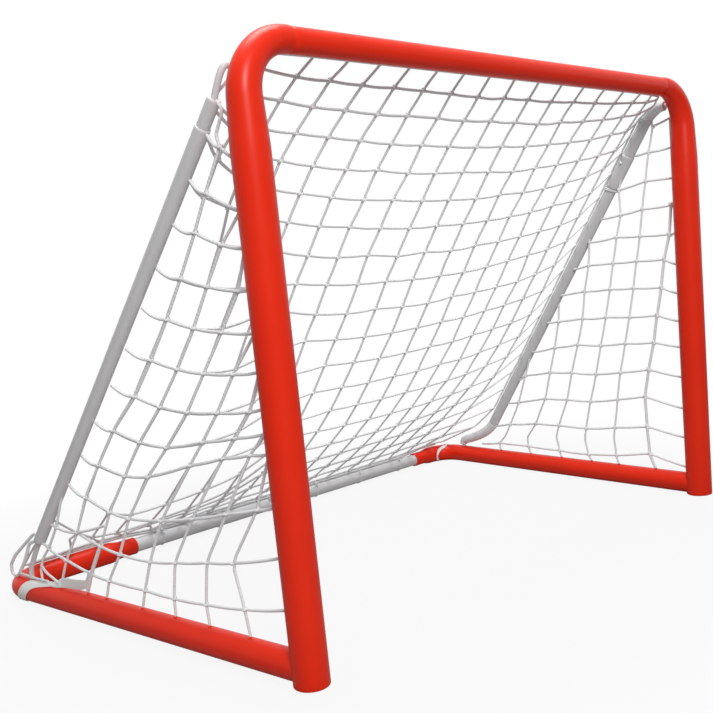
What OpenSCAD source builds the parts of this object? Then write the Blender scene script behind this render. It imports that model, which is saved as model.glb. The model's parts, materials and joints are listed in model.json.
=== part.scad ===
// Portable backyard goal: a red push-fit tube frame, two grey stays, a grey rear bar and a
// knotted twine net on the back and both sides.

/* [Mouth and footprint] */
// Width of the mouth between the post axes
mouth_w = 1200; // [1000:10:1500]
// Height of the crossbar axis above the ground
mouth_h = 912; // [800:2:1100]
// Depth from the post axes to the rear bar axis
goal_depth = 865; // [780:5:1000]
// Width between the rear corners of the base
rear_w = 1370; // [1240:10:1600]

/* [Posts and elbows] */
// Outer diameter of a post
post_d = 56; // [52:1:64]
// Wall of a post
post_wall = 2; // [1.5:0.1:2.6]
// Bend radius of the elbow on top of a post
elbow_bend_r = 82; // [70:1:110]
// Length of post above which the tube starts to narrow, below the bend
taper_lead = 64; // [20:1:100]
// Straight tail of the elbow beyond its bend
elbow_tail = 3; // [2:0.5:10]
// Step from the elbow's end down to the crossbar
elbow_step = 0.8; // [0.4:0.1:2]
// Thickness of the foot cap's flange
cap_flange = 4; // [3:0.5:8]
// Depth of the foot cap's plug inside the post
cap_plug = 22; // [12:1:40]

/* [Crossbar] */
// Outer diameter of the crossbar
crossbar_d = 37; // [34:0.5:42]
// Wall of the crossbar
crossbar_wall = 1.5; // [1:0.1:2]
// Length of the drawn spigot that carries each end of the crossbar
spigot_len = 62; // [45:1:90]
// Wall of the spigot
spigot_wall = 1.5; // [1:0.1:2]

/* [Base bars] */
// Outer diameter of a base bar
base_d = 47; // [42:1:50]
// Wall of a base bar
base_wall = 1.8; // [1.2:0.1:2.4]
// Bend radius of the rear corner
corner_bend_r = 60; // [52:1:70]
// Length of the left rear leg, from the corner to its mouth
left_leg_len = 290; // [170:5:420]
// Length of the right rear leg, from the corner to its mouth
right_leg_len = 140; // [140:5:420]
// Length over which a leg narrows
leg_taper_len = 30; // [20:1:34]
// Length of the narrow mouth of a leg
leg_mouth_len = 36; // [28:1:38]
// Wall of the leg's mouth
leg_mouth_wall = 3; // [2:0.1:3.4]
// Length of the stub that carries a base bar behind its post
stub_len = 55; // [30:1:90]
// Wall of the stub
stub_wall = 2; // [1.5:0.1:3]

/* [Rear bar] */
// Outer diameter of the rear bar
rear_d = 32; // [30:0.5:34]
// Wall of the rear bar
rear_wall = 1.5; // [1:0.1:2]
// Length of rear bar inside each leg
rear_insert = 58; // [50:1:64]

/* [Stays] */
// Outer diameter of the left stay's lower tube
left_stay_d = 24; // [23:0.5:28]
// Outer diameter of the right stay's tubes
right_stay_d = 27; // [26:0.5:32]
// Wall of a stay tube
stay_wall = 1.5; // [1:0.1:1.8]
// Distance of the left stay's top end behind the post axis
left_top_back = 60; // [56:1:90]
// Drop of the left stay's top end below the crossbar axis
left_top_drop = 71; // [60:1:90]
// Distance of the left tube's foot in front of the rear corner
left_foot_in = 146; // [130:1:180]
// Height of the left tube's foot
left_foot_up = 134; // [120:1:160]
// Distance of the right stay's top end behind the post axis
right_top_back = 89; // [70:1:100]
// Drop of the right stay's top end below the crossbar axis
right_top_drop = 45; // [40:1:70]
// Distance of the right tube's foot in front of the rear corner
right_foot_in = 222; // [180:1:230]
// Height of the right tube's foot
right_foot_up = 126; // [110:1:150]
// Distance of the left stay's tube joint below its top end
left_joint_down = 45; // [40:1:90]
// Distance of the right stay's joint sleeve below its top end
right_joint_down = 92; // [80:1:120]
// Length of the right stay's joint sleeve
joint_sleeve_len = 82; // [70:1:110]
// Wall of the right stay's joint sleeve
joint_sleeve_wall = 2; // [1.5:0.1:3]
// Length of upper tube inside the lower tube or sleeve
stay_insert = 40; // [36:1:60]
// Diameter of the bent hook rods
hook_d = 10; // [8:0.5:12]
// Thickness of a hook rod's collar plug inside the tube
hook_plug_len = 14; // [8:1:20]
// Outer diameter of the white sleeves on the right stay's hooks
hook_sleeve_d = 27; // [22:0.5:30]

/* [Snap buttons] */
// Diameter of a snap button
button_d = 8; // [6:0.5:9]
// Height that a snap button stands proud of its outer tube
button_proud = 2.5; // [1.5:0.1:3]
// Diameter of the button's flange
flange_d = 11; // [10:0.5:12]
// Thickness of the button's flange
flange_t = 1; // [0.8:0.1:1.4]
// Length of the leaf spring behind a button
spring_len = 34; // [28:1:38]
// Width of the leaf spring
spring_w = 7; // [5:0.5:8]
// Thickness of the leaf spring
spring_t = 0.8; // [0.5:0.1:1]

/* [Net] */
// Diameter of the net's twine
twine_d = 5; // [3:0.5:6]
// Cells across the back net
back_cols = 16; // [8:1:16]
// Cells down the back net
back_rows = 15; // [8:1:15]
// Cells along each edge of a side net
side_cells = 12; // [6:1:12]
// Height of a net clip above its tube
clip_h = 5; // [4:0.5:8]
// Diameter of a net clip
clip_d = 9; // [7:0.5:12]
// Angle below level of the crossbar's net clips, in degrees
hem_angle = 25; // [20:1:45]
// Slack belly of the back net, towards the mouth
belly_in = 48; // [20:1:60]
// Difference in belly between the back net's upper and lower half
belly_twist = 23; // [0:1:30]
// Sag of a side net's row, as a share of the row's length
side_sag = 0.04; // [0.01:0.01:0.06]
// Inward belly of a side net
side_belly = 12; // [0:1:20]
// Diameter of the border rope on the rear bar
rope_d = 7; // [5:0.5:8]
// Diameter of the tie cord that holds the border rope
tie_d = 3; // [2:0.5:4]
// Number of ties along the rear bar
tie_count = 6; // [3:1:9]

/* [Straps] */
// Width of the left corner strap
left_strap_w = 16; // [12:1:24]
// Width of the right corner band
right_strap_w = 9; // [6:1:14]
// Thickness of a strap
strap_t = 1.2; // [0.8:0.1:1.6]
// Slant of the straps round their bars, in degrees
strap_slant = 24; // [0:1:30]
// Distance of the left strap in front of the rear corner
left_strap_in = 120; // [100:1:140]

/* [Fits] */
// Radial clearance of push-fit tubes
push_gap = 0.15; // [0.1:0.05:0.25]
// Radial clearance of a snap button in its holes
button_gap = 0.06; // [0.04:0.01:0.1]
// Clearance where a net, rope or strap lies on a tube
seat_gap = 0.3; // [0.2:0.05:0.5]
// Radial clearance of a hook rod in its hole
hook_gap = 0.2; // [0.1:0.05:0.4]
// Radial clearance of a soft sleeve on its hook rod
sleeve_gap = 0.8; // [0.6:0.1:0.9]

/* [Hidden] */
$fn = 64;
red = [0.91, 0.18, 0.05];
grey = [0.72, 0.72, 0.74];
white = [0.9, 0.91, 0.9];
steel = [0.6, 0.62, 0.65];
twine = [0.82, 0.82, 0.85];

post_r = post_d / 2;
crossbar_r = crossbar_d / 2;
base_r = base_d / 2;
rear_r = rear_d / 2;
twine_r = twine_d / 2;
// Reach of a square strand's corner from its middle
twine_corner = twine_r * sqrt(2);
// The part's origin is on the ground in the middle of its footprint.
front_y = -(goal_depth + base_r + strap_t + seat_gap - post_r) / 2;
side_angle = atan2((rear_w - mouth_w) / 2, goal_depth);
corner_s = goal_depth / cos(side_angle);
corner_turn = 90 + side_angle;
corner_tangent = corner_bend_r * tan(corner_turn / 2);
bend_s = corner_s - corner_tangent;

// Elbow: the tube narrows evenly from the post to the crossbar.
elbow_cx = mouth_w / 2 - elbow_bend_r;
elbow_cz = mouth_h - elbow_bend_r;
elbow_end_x = elbow_cx - elbow_tail;
taper_z = elbow_cz - taper_lead;
bend_len = elbow_bend_r * PI / 2;
elbow_len = taper_lead + bend_len + elbow_tail;
elbow_end_r = crossbar_r + elbow_step;
spigot_r = crossbar_r - crossbar_wall - push_gap;
spigot_bore_r = spigot_r - spigot_wall;
elbow_sides = 32;
elbow_steps = 12;
// The faceted elbow stays this far inside the round tubes that it joins.
facet_inset = 0.05;

leg_mouth_r = rear_r + push_gap + leg_mouth_wall;
rear_y = goal_depth;

hook_bend_steps = 8;
hook_sides = 12;
sleeve_sides = 16;
hook_hole_z = mouth_h - 30;
hook_s_end = 15;
// Distance of the top hook's tight bend behind the back of the post
hook_stand_off = 14;
hook_tight_bend = 12;
hook_tight_steps = 4;
foot_hole_s = bend_s - 25;
foot_hook_end_z = base_d - 16;
foot_hook_rise = 18;

// ---- Frames -------------------------------------------------------------------------------

module placed() translate([0, front_y, 0]) children();

// Everything is drawn for the right side, and mirrored for the left (side = -1).
module mirrored(side) mirror([side < 0 ? 1 : 0, 0, 0]) children();

// Side plane: x points outwards, y runs back along the base bar, from the post axis.
module on_side(side)
    mirrored(side) translate([mouth_w / 2, 0, 0]) rotate([0, 0, -side_angle]) children();

function top_s(side) = side < 0 ? left_top_back : right_top_back;
function top_z(side) = mouth_h - (side < 0 ? left_top_drop : right_top_drop);
function low_s(side) = corner_s - (side < 0 ? left_foot_in : right_foot_in);
function low_z(side) = side < 0 ? left_foot_up : right_foot_up;
function stay_d(side) = side < 0 ? left_stay_d : right_stay_d;
function stay_run(side) = [low_s(side) - top_s(side), top_z(side) - low_z(side)];
function stay_len(side) = norm(stay_run(side));
function stay_slope(side) = atan2(stay_run(side)[1], stay_run(side)[0]);

// Stay frame: z runs up the stay from the foot of its lower tube, x points outwards.
module on_stay(side)
    on_side(side) translate([0, low_s(side), low_z(side)])
        rotate([90 - stay_slope(side), 0, 0]) children();

// ---- Tubes --------------------------------------------------------------------------------

module tube(len, r, bore_r)
    difference() {
        cylinder(h = len, r = r);
        translate([0, 0, -1]) cylinder(h = len + 2, r = bore_r);
    }

module cone_tube(len, r1, r2, bore_r1, bore_r2)
    difference() {
        cylinder(h = len, r1 = r1, r2 = r2);
        cylinder(h = len, r1 = bore_r1, r2 = bore_r2);
    }

// ---- Swept solids -------------------------------------------------------------------------

function unit(v) = v / norm(v);
function path_dir(path, i) =
    unit(path[min(i + 1, len(path) - 1)] - path[max(i - 1, 0)]);
function ring(centre, dir, r, sides, across) =
    let (a = unit(cross(across, dir)), b = cross(dir, a))
    [for (k = [0:sides - 1]) centre + r * (cos(360 * k / sides) * a + sin(360 * k / sides) * b)];
function flat(rows) = [for (row = rows) for (item = row) item];
// Faces between ring i and ring i + 1, where first is the index of ring 0's first point.
function ring_faces(first, rings, sides, inward) = [
    for (i = [0:rings - 2]) for (k = [0:sides - 1])
        let (a = first + i * sides + k, b = first + i * sides + (k + 1) % sides)
        for (f = [[a, a + sides, b], [b, a + sides, b + sides]])
            inward ? [f[0], f[2], f[1]] : f
];

// A solid rod along a path of points; across is a direction that the path never takes.
module rod(path, r, sides, across) {
    rings = len(path);
    points = flat([for (i = [0:rings - 1]) ring(path[i], path_dir(path, i), r, sides, across)]);
    first_cap = [for (k = [1:sides - 2]) [0, k, k + 1]];
    last = (rings - 1) * sides;
    last_cap = [for (k = [1:sides - 2]) [last, last + k + 1, last + k]];
    polyhedron(points, concat(ring_faces(0, rings, sides, false), first_cap, last_cap));
}

// A hollow sleeve along a path, with its radii given ring by ring.
module hollow(path, radii, bores, sides, across) {
    rings = len(path);
    outer = flat([for (i = [0:rings - 1])
        ring(path[i], path_dir(path, i), radii[i], sides, across)]);
    inner = flat([for (i = [0:rings - 1])
        ring(path[i], path_dir(path, i), bores[i], sides, across)]);
    base = rings * sides;
    last = (rings - 1) * sides;
    first_rim = [for (k = [0:sides - 1]) let (n = (k + 1) % sides)
        for (f = [[k, n, base + k], [n, base + n, base + k]]) f];
    last_rim = [for (k = [0:sides - 1]) let (n = (k + 1) % sides)
        for (f = [[last + k, base + last + k, last + n],
                  [last + n, base + last + k, base + last + n]]) f];
    polyhedron(concat(outer, inner), concat(
        ring_faces(0, rings, sides, false), ring_faces(base, rings, sides, true),
        first_rim, last_rim));
}

// Points of a curve from a to b that leaves a towards c and reaches b from c.
function bend_curve(a, c, b, steps) = [for (i = [0:steps]) let (t = i / steps)
    (1 - t) * (1 - t) * a + 2 * t * (1 - t) * c + t * t * b];

// ---- Upright: post, narrowing elbow and spigot in one bent tube -----------------------------

function elbow_point(l) =
    let (a = (l - taper_lead) / elbow_bend_r * 180 / PI)
    l <= taper_lead ? [mouth_w / 2, 0, taper_z + l]
    : l < taper_lead + bend_len
        ? [elbow_cx + elbow_bend_r * cos(a), 0, elbow_cz + elbow_bend_r * sin(a)]
        : [elbow_cx - (l - taper_lead - bend_len), 0, mouth_h];
function elbow_r(l) = post_r + (elbow_end_r - post_r) * l / elbow_len - facet_inset;
function elbow_bore(l) =
    post_r - post_wall + (spigot_bore_r - post_r + post_wall) * l / elbow_len + facet_inset;
elbow_stations = concat([0], [for (i = [0:elbow_steps]) taper_lead + bend_len * i / elbow_steps],
                        [elbow_len]);

// The bend's side rings use the y axis as their fixed direction.
module elbow()
    hollow([for (l = elbow_stations) elbow_point(l)], [for (l = elbow_stations) elbow_r(l)],
           [for (l = elbow_stations) elbow_bore(l)], elbow_sides, [0, 1, 0]);

module upright(side)
    mirrored(side) difference() {
        union() {
            translate([mouth_w / 2, 0, cap_flange])
                tube(taper_z - cap_flange, post_r, post_r - post_wall);
            elbow();
            translate([elbow_end_x, 0, mouth_h]) rotate([0, -90, 0])
                tube(spigot_len, spigot_r, spigot_bore_r);
        }
        hook_hole();
        crossbar_button_hole();
    }

module foot_cap(side)
    mirrored(side) translate([mouth_w / 2, 0, 0]) rotate_extrude() {
        square([post_r - cap_flange / 2, cap_flange]);
        translate([0, cap_flange / 2]) square([post_r, cap_flange / 2]);
        translate([post_r - cap_flange / 2, cap_flange / 2]) circle(r = cap_flange / 2);
        square([post_r - post_wall - push_gap, cap_flange + cap_plug]);
    }

module left_upright() color(red) placed() upright(-1);
module right_upright() color(red) placed() upright(1);
module left_foot_cap() color(red) placed() foot_cap(-1);
module right_foot_cap() color(red) placed() foot_cap(1);

// ---- Crossbar -----------------------------------------------------------------------------

crossbar_button_x = elbow_end_x - spigot_len / 2;

module crossbar_button_hole()
    translate([crossbar_button_x, 0, mouth_h]) rotate([-90, 0, 0])
        cylinder(h = post_d, r = button_d / 2 + button_gap);

module crossbar()
    color(red) placed() difference() {
        translate([elbow_end_x, 0, mouth_h]) rotate([0, -90, 0])
            tube(2 * elbow_end_x, crossbar_r, crossbar_r - crossbar_wall);
        for (side = [-1, 1]) mirrored(side) crossbar_button_hole();
    }

// ---- Base bars: side bar, rear corner and leg in one bent tube ------------------------------

function leg_len(side) = side < 0 ? left_leg_len : right_leg_len;
function leg_end_x(side) = rear_w / 2 - leg_len(side);
leg_start_x = rear_w / 2 - corner_tangent;

module base_bar(side) {
    straight = leg_start_x - leg_end_x(side) - leg_taper_len - leg_mouth_len;
    bore_r = base_r - base_wall;
    mouth_bore_r = rear_r + push_gap;
    mirrored(side) difference() {
        union() {
            translate([mouth_w / 2, 0, base_r]) rotate([0, 0, -side_angle]) {
                rotate([-90, 0, 0]) tube(bend_s, base_r, bore_r);
                translate([-corner_bend_r, bend_s, 0]) rotate_extrude(angle = corner_turn)
                    translate([corner_bend_r, 0]) difference() {
                        circle(r = base_r);
                        circle(r = bore_r);
                    }
            }
            translate([leg_start_x, rear_y, base_r]) rotate([0, -90, 0]) {
                tube(straight, base_r, bore_r);
                translate([0, 0, straight])
                    cone_tube(leg_taper_len, base_r, leg_mouth_r, bore_r, mouth_bore_r);
                translate([0, 0, straight + leg_taper_len])
                    tube(leg_mouth_len, leg_mouth_r, mouth_bore_r);
            }
        }
        // The front end is coped to the back of the post.
        translate([mouth_w / 2, 0, -1]) cylinder(h = base_d + 2, r = post_r + push_gap);
        foot_hook_hole();
        rear_button_hole(side);
    }
}

module base_stub(side)
    mirrored(side) difference() {
        translate([mouth_w / 2, 0, base_r]) rotate([0, 0, -side_angle]) rotate([-90, 0, 0])
            tube(post_r + stub_len, base_r - base_wall - push_gap,
                 base_r - base_wall - push_gap - stub_wall);
        translate([mouth_w / 2, 0, -1]) cylinder(h = base_d + 2, r = post_r);
    }

module left_base_bar() color(red) placed() base_bar(-1);
module right_base_bar() color(red) placed() base_bar(1);
module left_base_stub() color(steel) placed() base_stub(-1);
module right_base_stub() color(steel) placed() base_stub(1);

// ---- Rear bar -----------------------------------------------------------------------------

module rear_button_hole(side)
    translate([leg_end_x(side) + leg_mouth_len / 2, rear_y, base_r]) rotate([-90, 0, 0])
        cylinder(h = base_d, r = button_d / 2 + button_gap);

module rear_bar() {
    left_x = -leg_end_x(-1) - rear_insert;
    right_x = leg_end_x(1) + rear_insert;
    color(grey) placed() difference() {
        translate([right_x, rear_y, base_r]) rotate([0, -90, 0])
            tube(right_x - left_x, rear_r, rear_r - rear_wall);
        for (side = [-1, 1]) mirrored(side) rear_button_hole(side);
    }
}

// ---- Stays --------------------------------------------------------------------------------

// Outer radius of the upper tube: it slides into the left lower tube, and into the right sleeve.
function upper_r(side) =
    side < 0 ? left_stay_d / 2 - stay_wall - push_gap : right_stay_d / 2;
function joint_h(side) =
    stay_len(side) - (side < 0 ? left_joint_down : right_joint_down);
// Where the lower tube stops: at the joint on the left, in the middle of the sleeve on the right.
function lower_end(side) =
    side < 0 ? joint_h(side) : joint_h(side) - stay_insert - seat_gap;
function button_h(side) = joint_h(side) - stay_insert / 2;
sleeve_r = right_stay_d / 2 + push_gap + joint_sleeve_wall;

module stay_button_hole(side)
    on_stay(side) translate([0, 0, button_h(side)]) rotate([0, -90, 0])
        cylinder(h = stay_d(side), r = button_d / 2 + button_gap);

module stay_lower(side)
    difference() {
        on_stay(side) tube(lower_end(side), stay_d(side) / 2, stay_d(side) / 2 - stay_wall);
        if (side < 0) stay_button_hole(side);
    }

module stay_upper(side)
    difference() {
        on_stay(side) translate([0, 0, joint_h(side) - stay_insert])
            tube(stay_len(side) - joint_h(side) + stay_insert,
                 upper_r(side), upper_r(side) - stay_wall);
        stay_button_hole(side);
    }

module left_stay_lower_tube() color(grey) placed() stay_lower(-1);
module right_stay_lower_tube() color(grey) placed() stay_lower(1);
module left_stay_upper_tube() color(grey) placed() stay_upper(-1);
module right_stay_upper_tube() color(grey) placed() stay_upper(1);
module right_stay_joint_sleeve()
    color(grey) placed() difference() {
        on_stay(1) translate([0, 0, joint_h(1) - joint_sleeve_len])
            tube(joint_sleeve_len, sleeve_r, sleeve_r - joint_sleeve_wall);
        stay_button_hole(1);
    }

// ---- Hooks: bent rods that join a stay to the elbow above and to the base bar below ---------

function stay_dir(side) = [0, -cos(stay_slope(side)), sin(stay_slope(side))];
function tube_top(side) = [0, top_s(side), top_z(side)];
function tube_foot(side) = [0, low_s(side), low_z(side)];

// The elbow's hole is square to the mouth, level with the hook's end.
hook_hole_angle = asin((hook_hole_z - elbow_cz) / elbow_bend_r);
hook_hole_x = elbow_cx + elbow_bend_r * cos(hook_hole_angle);

module hook_hole()
    translate([hook_hole_x, 0, hook_hole_z]) rotate([-90, 0, 0])
        cylinder(h = post_d, r = hook_d / 2 + hook_gap);

function side_point(x, y, z) =
    let (dx = x - mouth_w / 2)
    [dx * cos(side_angle) - y * sin(side_angle), dx * sin(side_angle) + y * cos(side_angle), z];
// A hook's route: out of its tube, round a wide bend, and round a tight bend into its hole.
function hook_path(start, from, turn, corner, finish) =
    let (a = corner - hook_tight_bend * unit(corner - turn),
         b = corner + hook_tight_bend * unit(finish - corner))
    concat([start], bend_curve(from, turn, a, hook_bend_steps),
           [for (i = [1:hook_tight_steps]) bend_curve(a, corner, b, hook_tight_steps)[i]],
           [finish]);
function top_hook_path(side) =
    let (along = tube_top(side) + 30 * stay_dir(side))
    hook_path(tube_top(side) - (hook_plug_len - 1) * stay_dir(side), tube_top(side),
              [0, along[1], hook_hole_z],
              side_point(hook_hole_x, post_r + hook_stand_off, hook_hole_z),
              side_point(hook_hole_x, hook_s_end, hook_hole_z));
function foot_hook_path(side) =
    hook_path(tube_foot(side) + (hook_plug_len - 1) * stay_dir(side), tube_foot(side),
              tube_foot(side) - 45 * stay_dir(side),
              [0, foot_hole_s, base_d + foot_hook_rise], [0, foot_hole_s, foot_hook_end_z]);

function inner_tube_r(side, top) =
    (top ? upper_r(side) : stay_d(side) / 2) - stay_wall - push_gap;

module stay_hook(side, top) {
    path = top ? top_hook_path(side) : foot_hook_path(side);
    plug_base = top ? stay_len(side) - hook_plug_len : 0;
    on_side(side) rod(path, hook_d / 2, hook_sides, [1, 0, 0]);
    // The end plug fills the tube's mouth round the rod.
    on_stay(side) translate([0, 0, plug_base])
        cylinder(h = hook_plug_len, r = inner_tube_r(side, top));
}

module foot_hook_hole()
    translate([mouth_w / 2, 0, 0]) rotate([0, 0, -side_angle])
        translate([0, foot_hole_s, base_r]) cylinder(h = base_d, r = hook_d / 2 + hook_gap);

module left_stay_top_hook() color(grey) placed() stay_hook(-1, true);
module right_stay_top_hook() color(grey) placed() stay_hook(1, true);
module left_stay_foot_hook() color(grey) placed() stay_hook(-1, false);
module right_stay_foot_hook() color(grey) placed() stay_hook(1, false);

// Soft white sleeves cover the right stay's hooks as far as their tight bends. A sleeve's first
// rings are square to the tube.
sleeve_lead = 2;
function sleeve_path(path) = let (d = unit(path[1] - path[0]))
    concat([path[1] + 2 * seat_gap * d, path[1] + sleeve_lead * d],
           [for (i = [2:hook_bend_steps + 1]) path[i]]);
module hook_sleeve(path) {
    route = sleeve_path(path);
    hollow(route, [for (p = route) hook_sleeve_d / 2], [for (p = route) hook_d / 2 + sleeve_gap],
           sleeve_sides, [1, 0, 0]);
}
module right_stay_top_sleeve() color(white) placed() on_side(1) hook_sleeve(top_hook_path(1));
module right_stay_foot_sleeve() color(white) placed() on_side(1) hook_sleeve(foot_hook_path(1));

// ---- Snap buttons and their leaf springs ----------------------------------------------------
// Local frame: z points out of the tube, x runs along it, the origin is on the tube's axis.

function flange_z(bore_r) = sqrt(bore_r * bore_r - flange_d * flange_d / 4) - seat_gap;

module button(bore_r, outer_r) {
    top = outer_r + button_proud;
    base = flange_z(bore_r);
    round = button_proud / 2;
    rotate_extrude() polygon([[0, base - flange_t], [flange_d / 2, base - flange_t],
        [flange_d / 2, base], [button_d / 2, base], [button_d / 2, top - round],
        [button_d / 2 - round, top], [0, top]]);
}

module leaf_spring(bore_r) {
    lip = 5;
    top = flange_z(bore_r) - flange_t - 0.05;
    bottom = sqrt(bore_r * bore_r - spring_w * spring_w / 4) - 0.1;
    apex = lip - spring_len;
    rotate([90, 0, 0]) translate([0, 0, -spring_w / 2]) linear_extrude(spring_w)
        polygon([[lip, top], [apex, spring_t / 2], [apex - spring_t, 0], [apex, -spring_t / 2],
                 [lip, -bottom], [lip, spring_t - bottom], [apex + 2 * spring_t, 0],
                 [lip, top - spring_t]]);
}

module at_crossbar_joint(side)
    mirrored(side) translate([crossbar_button_x, 0, mouth_h]) rotate([-90, 0, 0])
        mirror([1, 0, 0]) children();
module at_rear_joint(side)
    mirrored(side) translate([leg_end_x(side) + leg_mouth_len / 2, rear_y, base_r])
        rotate([-90, 0, 0]) children();
module at_stay_joint(side)
    on_stay(side) translate([0, 0, button_h(side)]) rotate([0, -90, 0])
        mirror([1, 0, 0]) children();

function stay_bore(side) = upper_r(side) - stay_wall;
function stay_outer(side) = side < 0 ? left_stay_d / 2 : sleeve_r;

module crossbar_left_button()
    color(steel) placed() at_crossbar_joint(-1) button(spigot_bore_r, crossbar_r);
module crossbar_right_button()
    color(steel) placed() at_crossbar_joint(1) button(spigot_bore_r, crossbar_r);
module rear_bar_left_button()
    color(steel) placed() at_rear_joint(-1) button(rear_r - rear_wall, leg_mouth_r);
module rear_bar_right_button()
    color(steel) placed() at_rear_joint(1) button(rear_r - rear_wall, leg_mouth_r);
module left_stay_button()
    color(steel) placed() at_stay_joint(-1) button(stay_bore(-1), stay_outer(-1));
module right_stay_button()
    color(steel) placed() at_stay_joint(1) button(stay_bore(1), stay_outer(1));
module crossbar_left_spring() color(steel) placed() at_crossbar_joint(-1) leaf_spring(spigot_bore_r);
module crossbar_right_spring() color(steel) placed() at_crossbar_joint(1) leaf_spring(spigot_bore_r);
module rear_bar_left_spring()
    color(steel) placed() at_rear_joint(-1) leaf_spring(rear_r - rear_wall);
module rear_bar_right_spring()
    color(steel) placed() at_rear_joint(1) leaf_spring(rear_r - rear_wall);
module left_stay_spring() color(steel) placed() at_stay_joint(-1) leaf_spring(stay_bore(-1));
module right_stay_spring() color(steel) placed() at_stay_joint(1) leaf_spring(stay_bore(1));

// ---- Nets ---------------------------------------------------------------------------------
// A net is one closed lattice. Each crossing is a block with four corners on its front and four
// on its back, and a square strand joins it to each neighbour.

function corner(i, j, nv, c) = (i * (nv + 1) + j) * 8 + c;
function quad(a, b, c, d) = [[a, b, c], [a, c, d]];

function crossing_points(grid, i, j, half) =
    let (nu = len(grid) - 1, nv = len(grid[i]) - 1, p = grid[i][j],
         tu = unit(grid[min(i + 1, nu)][j] - grid[max(i - 1, 0)][j]),
         tv = unit(grid[i][min(j + 1, nv)] - grid[i][max(j - 1, 0)]),
         n = unit(cross(tu, tv)), skew = 1 / norm(cross(tu, tv)))
    [for (face = [1, -1]) for (c = [[-1, -1], [1, -1], [1, 1], [-1, 1]])
        p + half * (skew * (c[0] * tu + c[1] * tv) + face * n)];

// keep(i, j) is a table of crossings; rows_at and cols_at say which strands exist.
module lattice(grid, half, keep, rows_at, cols_at) {
    nu = len(grid) - 1;
    nv = len(grid[0]) - 1;
    points = flat([for (i = [0:nu]) for (j = [0:nv]) crossing_points(grid, i, j, half)]);
    function f(i, j, c) = corner(i, j, nv, c);
    function has_row(i, j) =
        i >= 0 && i < nu && j >= 0 && j <= nv && rows_at[j] && keep[i][j] && keep[i + 1][j];
    function has_col(i, j) =
        j >= 0 && j < nv && i >= 0 && i <= nu && cols_at[i] && keep[i][j] && keep[i][j + 1];
    faces = flat([for (i = [0:nu]) for (j = [0:nv]) keep[i][j] ? concat(
        quad(f(i, j, 0), f(i, j, 3), f(i, j, 2), f(i, j, 1)),
        quad(f(i, j, 4), f(i, j, 5), f(i, j, 6), f(i, j, 7)),
        has_row(i, j) ? concat(
            quad(f(i, j, 2), f(i + 1, j, 3), f(i + 1, j, 0), f(i, j, 1)),
            quad(f(i, j, 5), f(i + 1, j, 4), f(i + 1, j, 7), f(i, j, 6)),
            quad(f(i, j, 1), f(i + 1, j, 0), f(i + 1, j, 4), f(i, j, 5)),
            quad(f(i, j, 2), f(i, j, 6), f(i + 1, j, 7), f(i + 1, j, 3)))
        : quad(f(i, j, 1), f(i, j, 2), f(i, j, 6), f(i, j, 5)),
        has_col(i, j) ? concat(
            quad(f(i, j + 1, 0), f(i, j + 1, 1), f(i, j, 2), f(i, j, 3)),
            quad(f(i, j, 7), f(i, j, 6), f(i, j + 1, 5), f(i, j + 1, 4)),
            quad(f(i, j, 3), f(i, j, 7), f(i, j + 1, 4), f(i, j + 1, 0)),
            quad(f(i, j, 2), f(i, j + 1, 1), f(i, j + 1, 5), f(i, j, 6)))
        : quad(f(i, j, 3), f(i, j, 7), f(i, j, 6), f(i, j, 2)),
        has_row(i - 1, j) ? [] : quad(f(i, j, 0), f(i, j, 4), f(i, j, 7), f(i, j, 3)),
        has_col(i, j - 1) ? [] : quad(f(i, j, 0), f(i, j, 1), f(i, j, 5), f(i, j, 4))
    ) : []]);
    polyhedron(points, faces);
}

// Back net. u runs across from left to right, v down from the crossbar to the rear bar.
hem_r = crossbar_r + clip_h + twine_r;
hem_y = hem_r * cos(hem_angle);
hem_z = mouth_h - hem_r * sin(hem_angle);
// The rope on the legs runs over the right corner band.
rope_z_leg = base_d + strap_t + 2 * seat_gap + rope_d / 2;
rope_z_bar = base_r + rear_r + rope_d / 2 + seat_gap;
net_foot_z = rope_z_leg + rope_d / 2 + twine_corner + seat_gap;
// How the rows crowd towards the crossbar, at the net's edges and in its middle.
edge_crowding = 1.64;
middle_crowding = 1.19;
crowding_spread = 0.56;
belly_spread = 0.3;
low_lift = 8;
mid_drift = -27;
twist_drift = -10;
edge_hold = 0.14;

function arch(u) = max(0, 4 * u * (1 - u));
// The net's lower corners lie on the middle of the rear bends.
bend_mid = side_place(-corner_bend_r * (1 - cos(corner_turn / 2)),
                      bend_s + corner_bend_r * sin(corner_turn / 2));
function side_place(x, s) = [mouth_w / 2 + x * cos(side_angle) + s * sin(side_angle),
                             s * cos(side_angle) - x * sin(side_angle)];
// The net's side edges lie along the inner sides of the stays and their hooks.
function widest_r(side) = side < 0 ? stay_d(side) / 2 : max(sleeve_r, hook_sleeve_d / 2);
function edge_seat(side) = widest_r(side) + button_proud + twine_corner + seat_gap;
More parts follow.
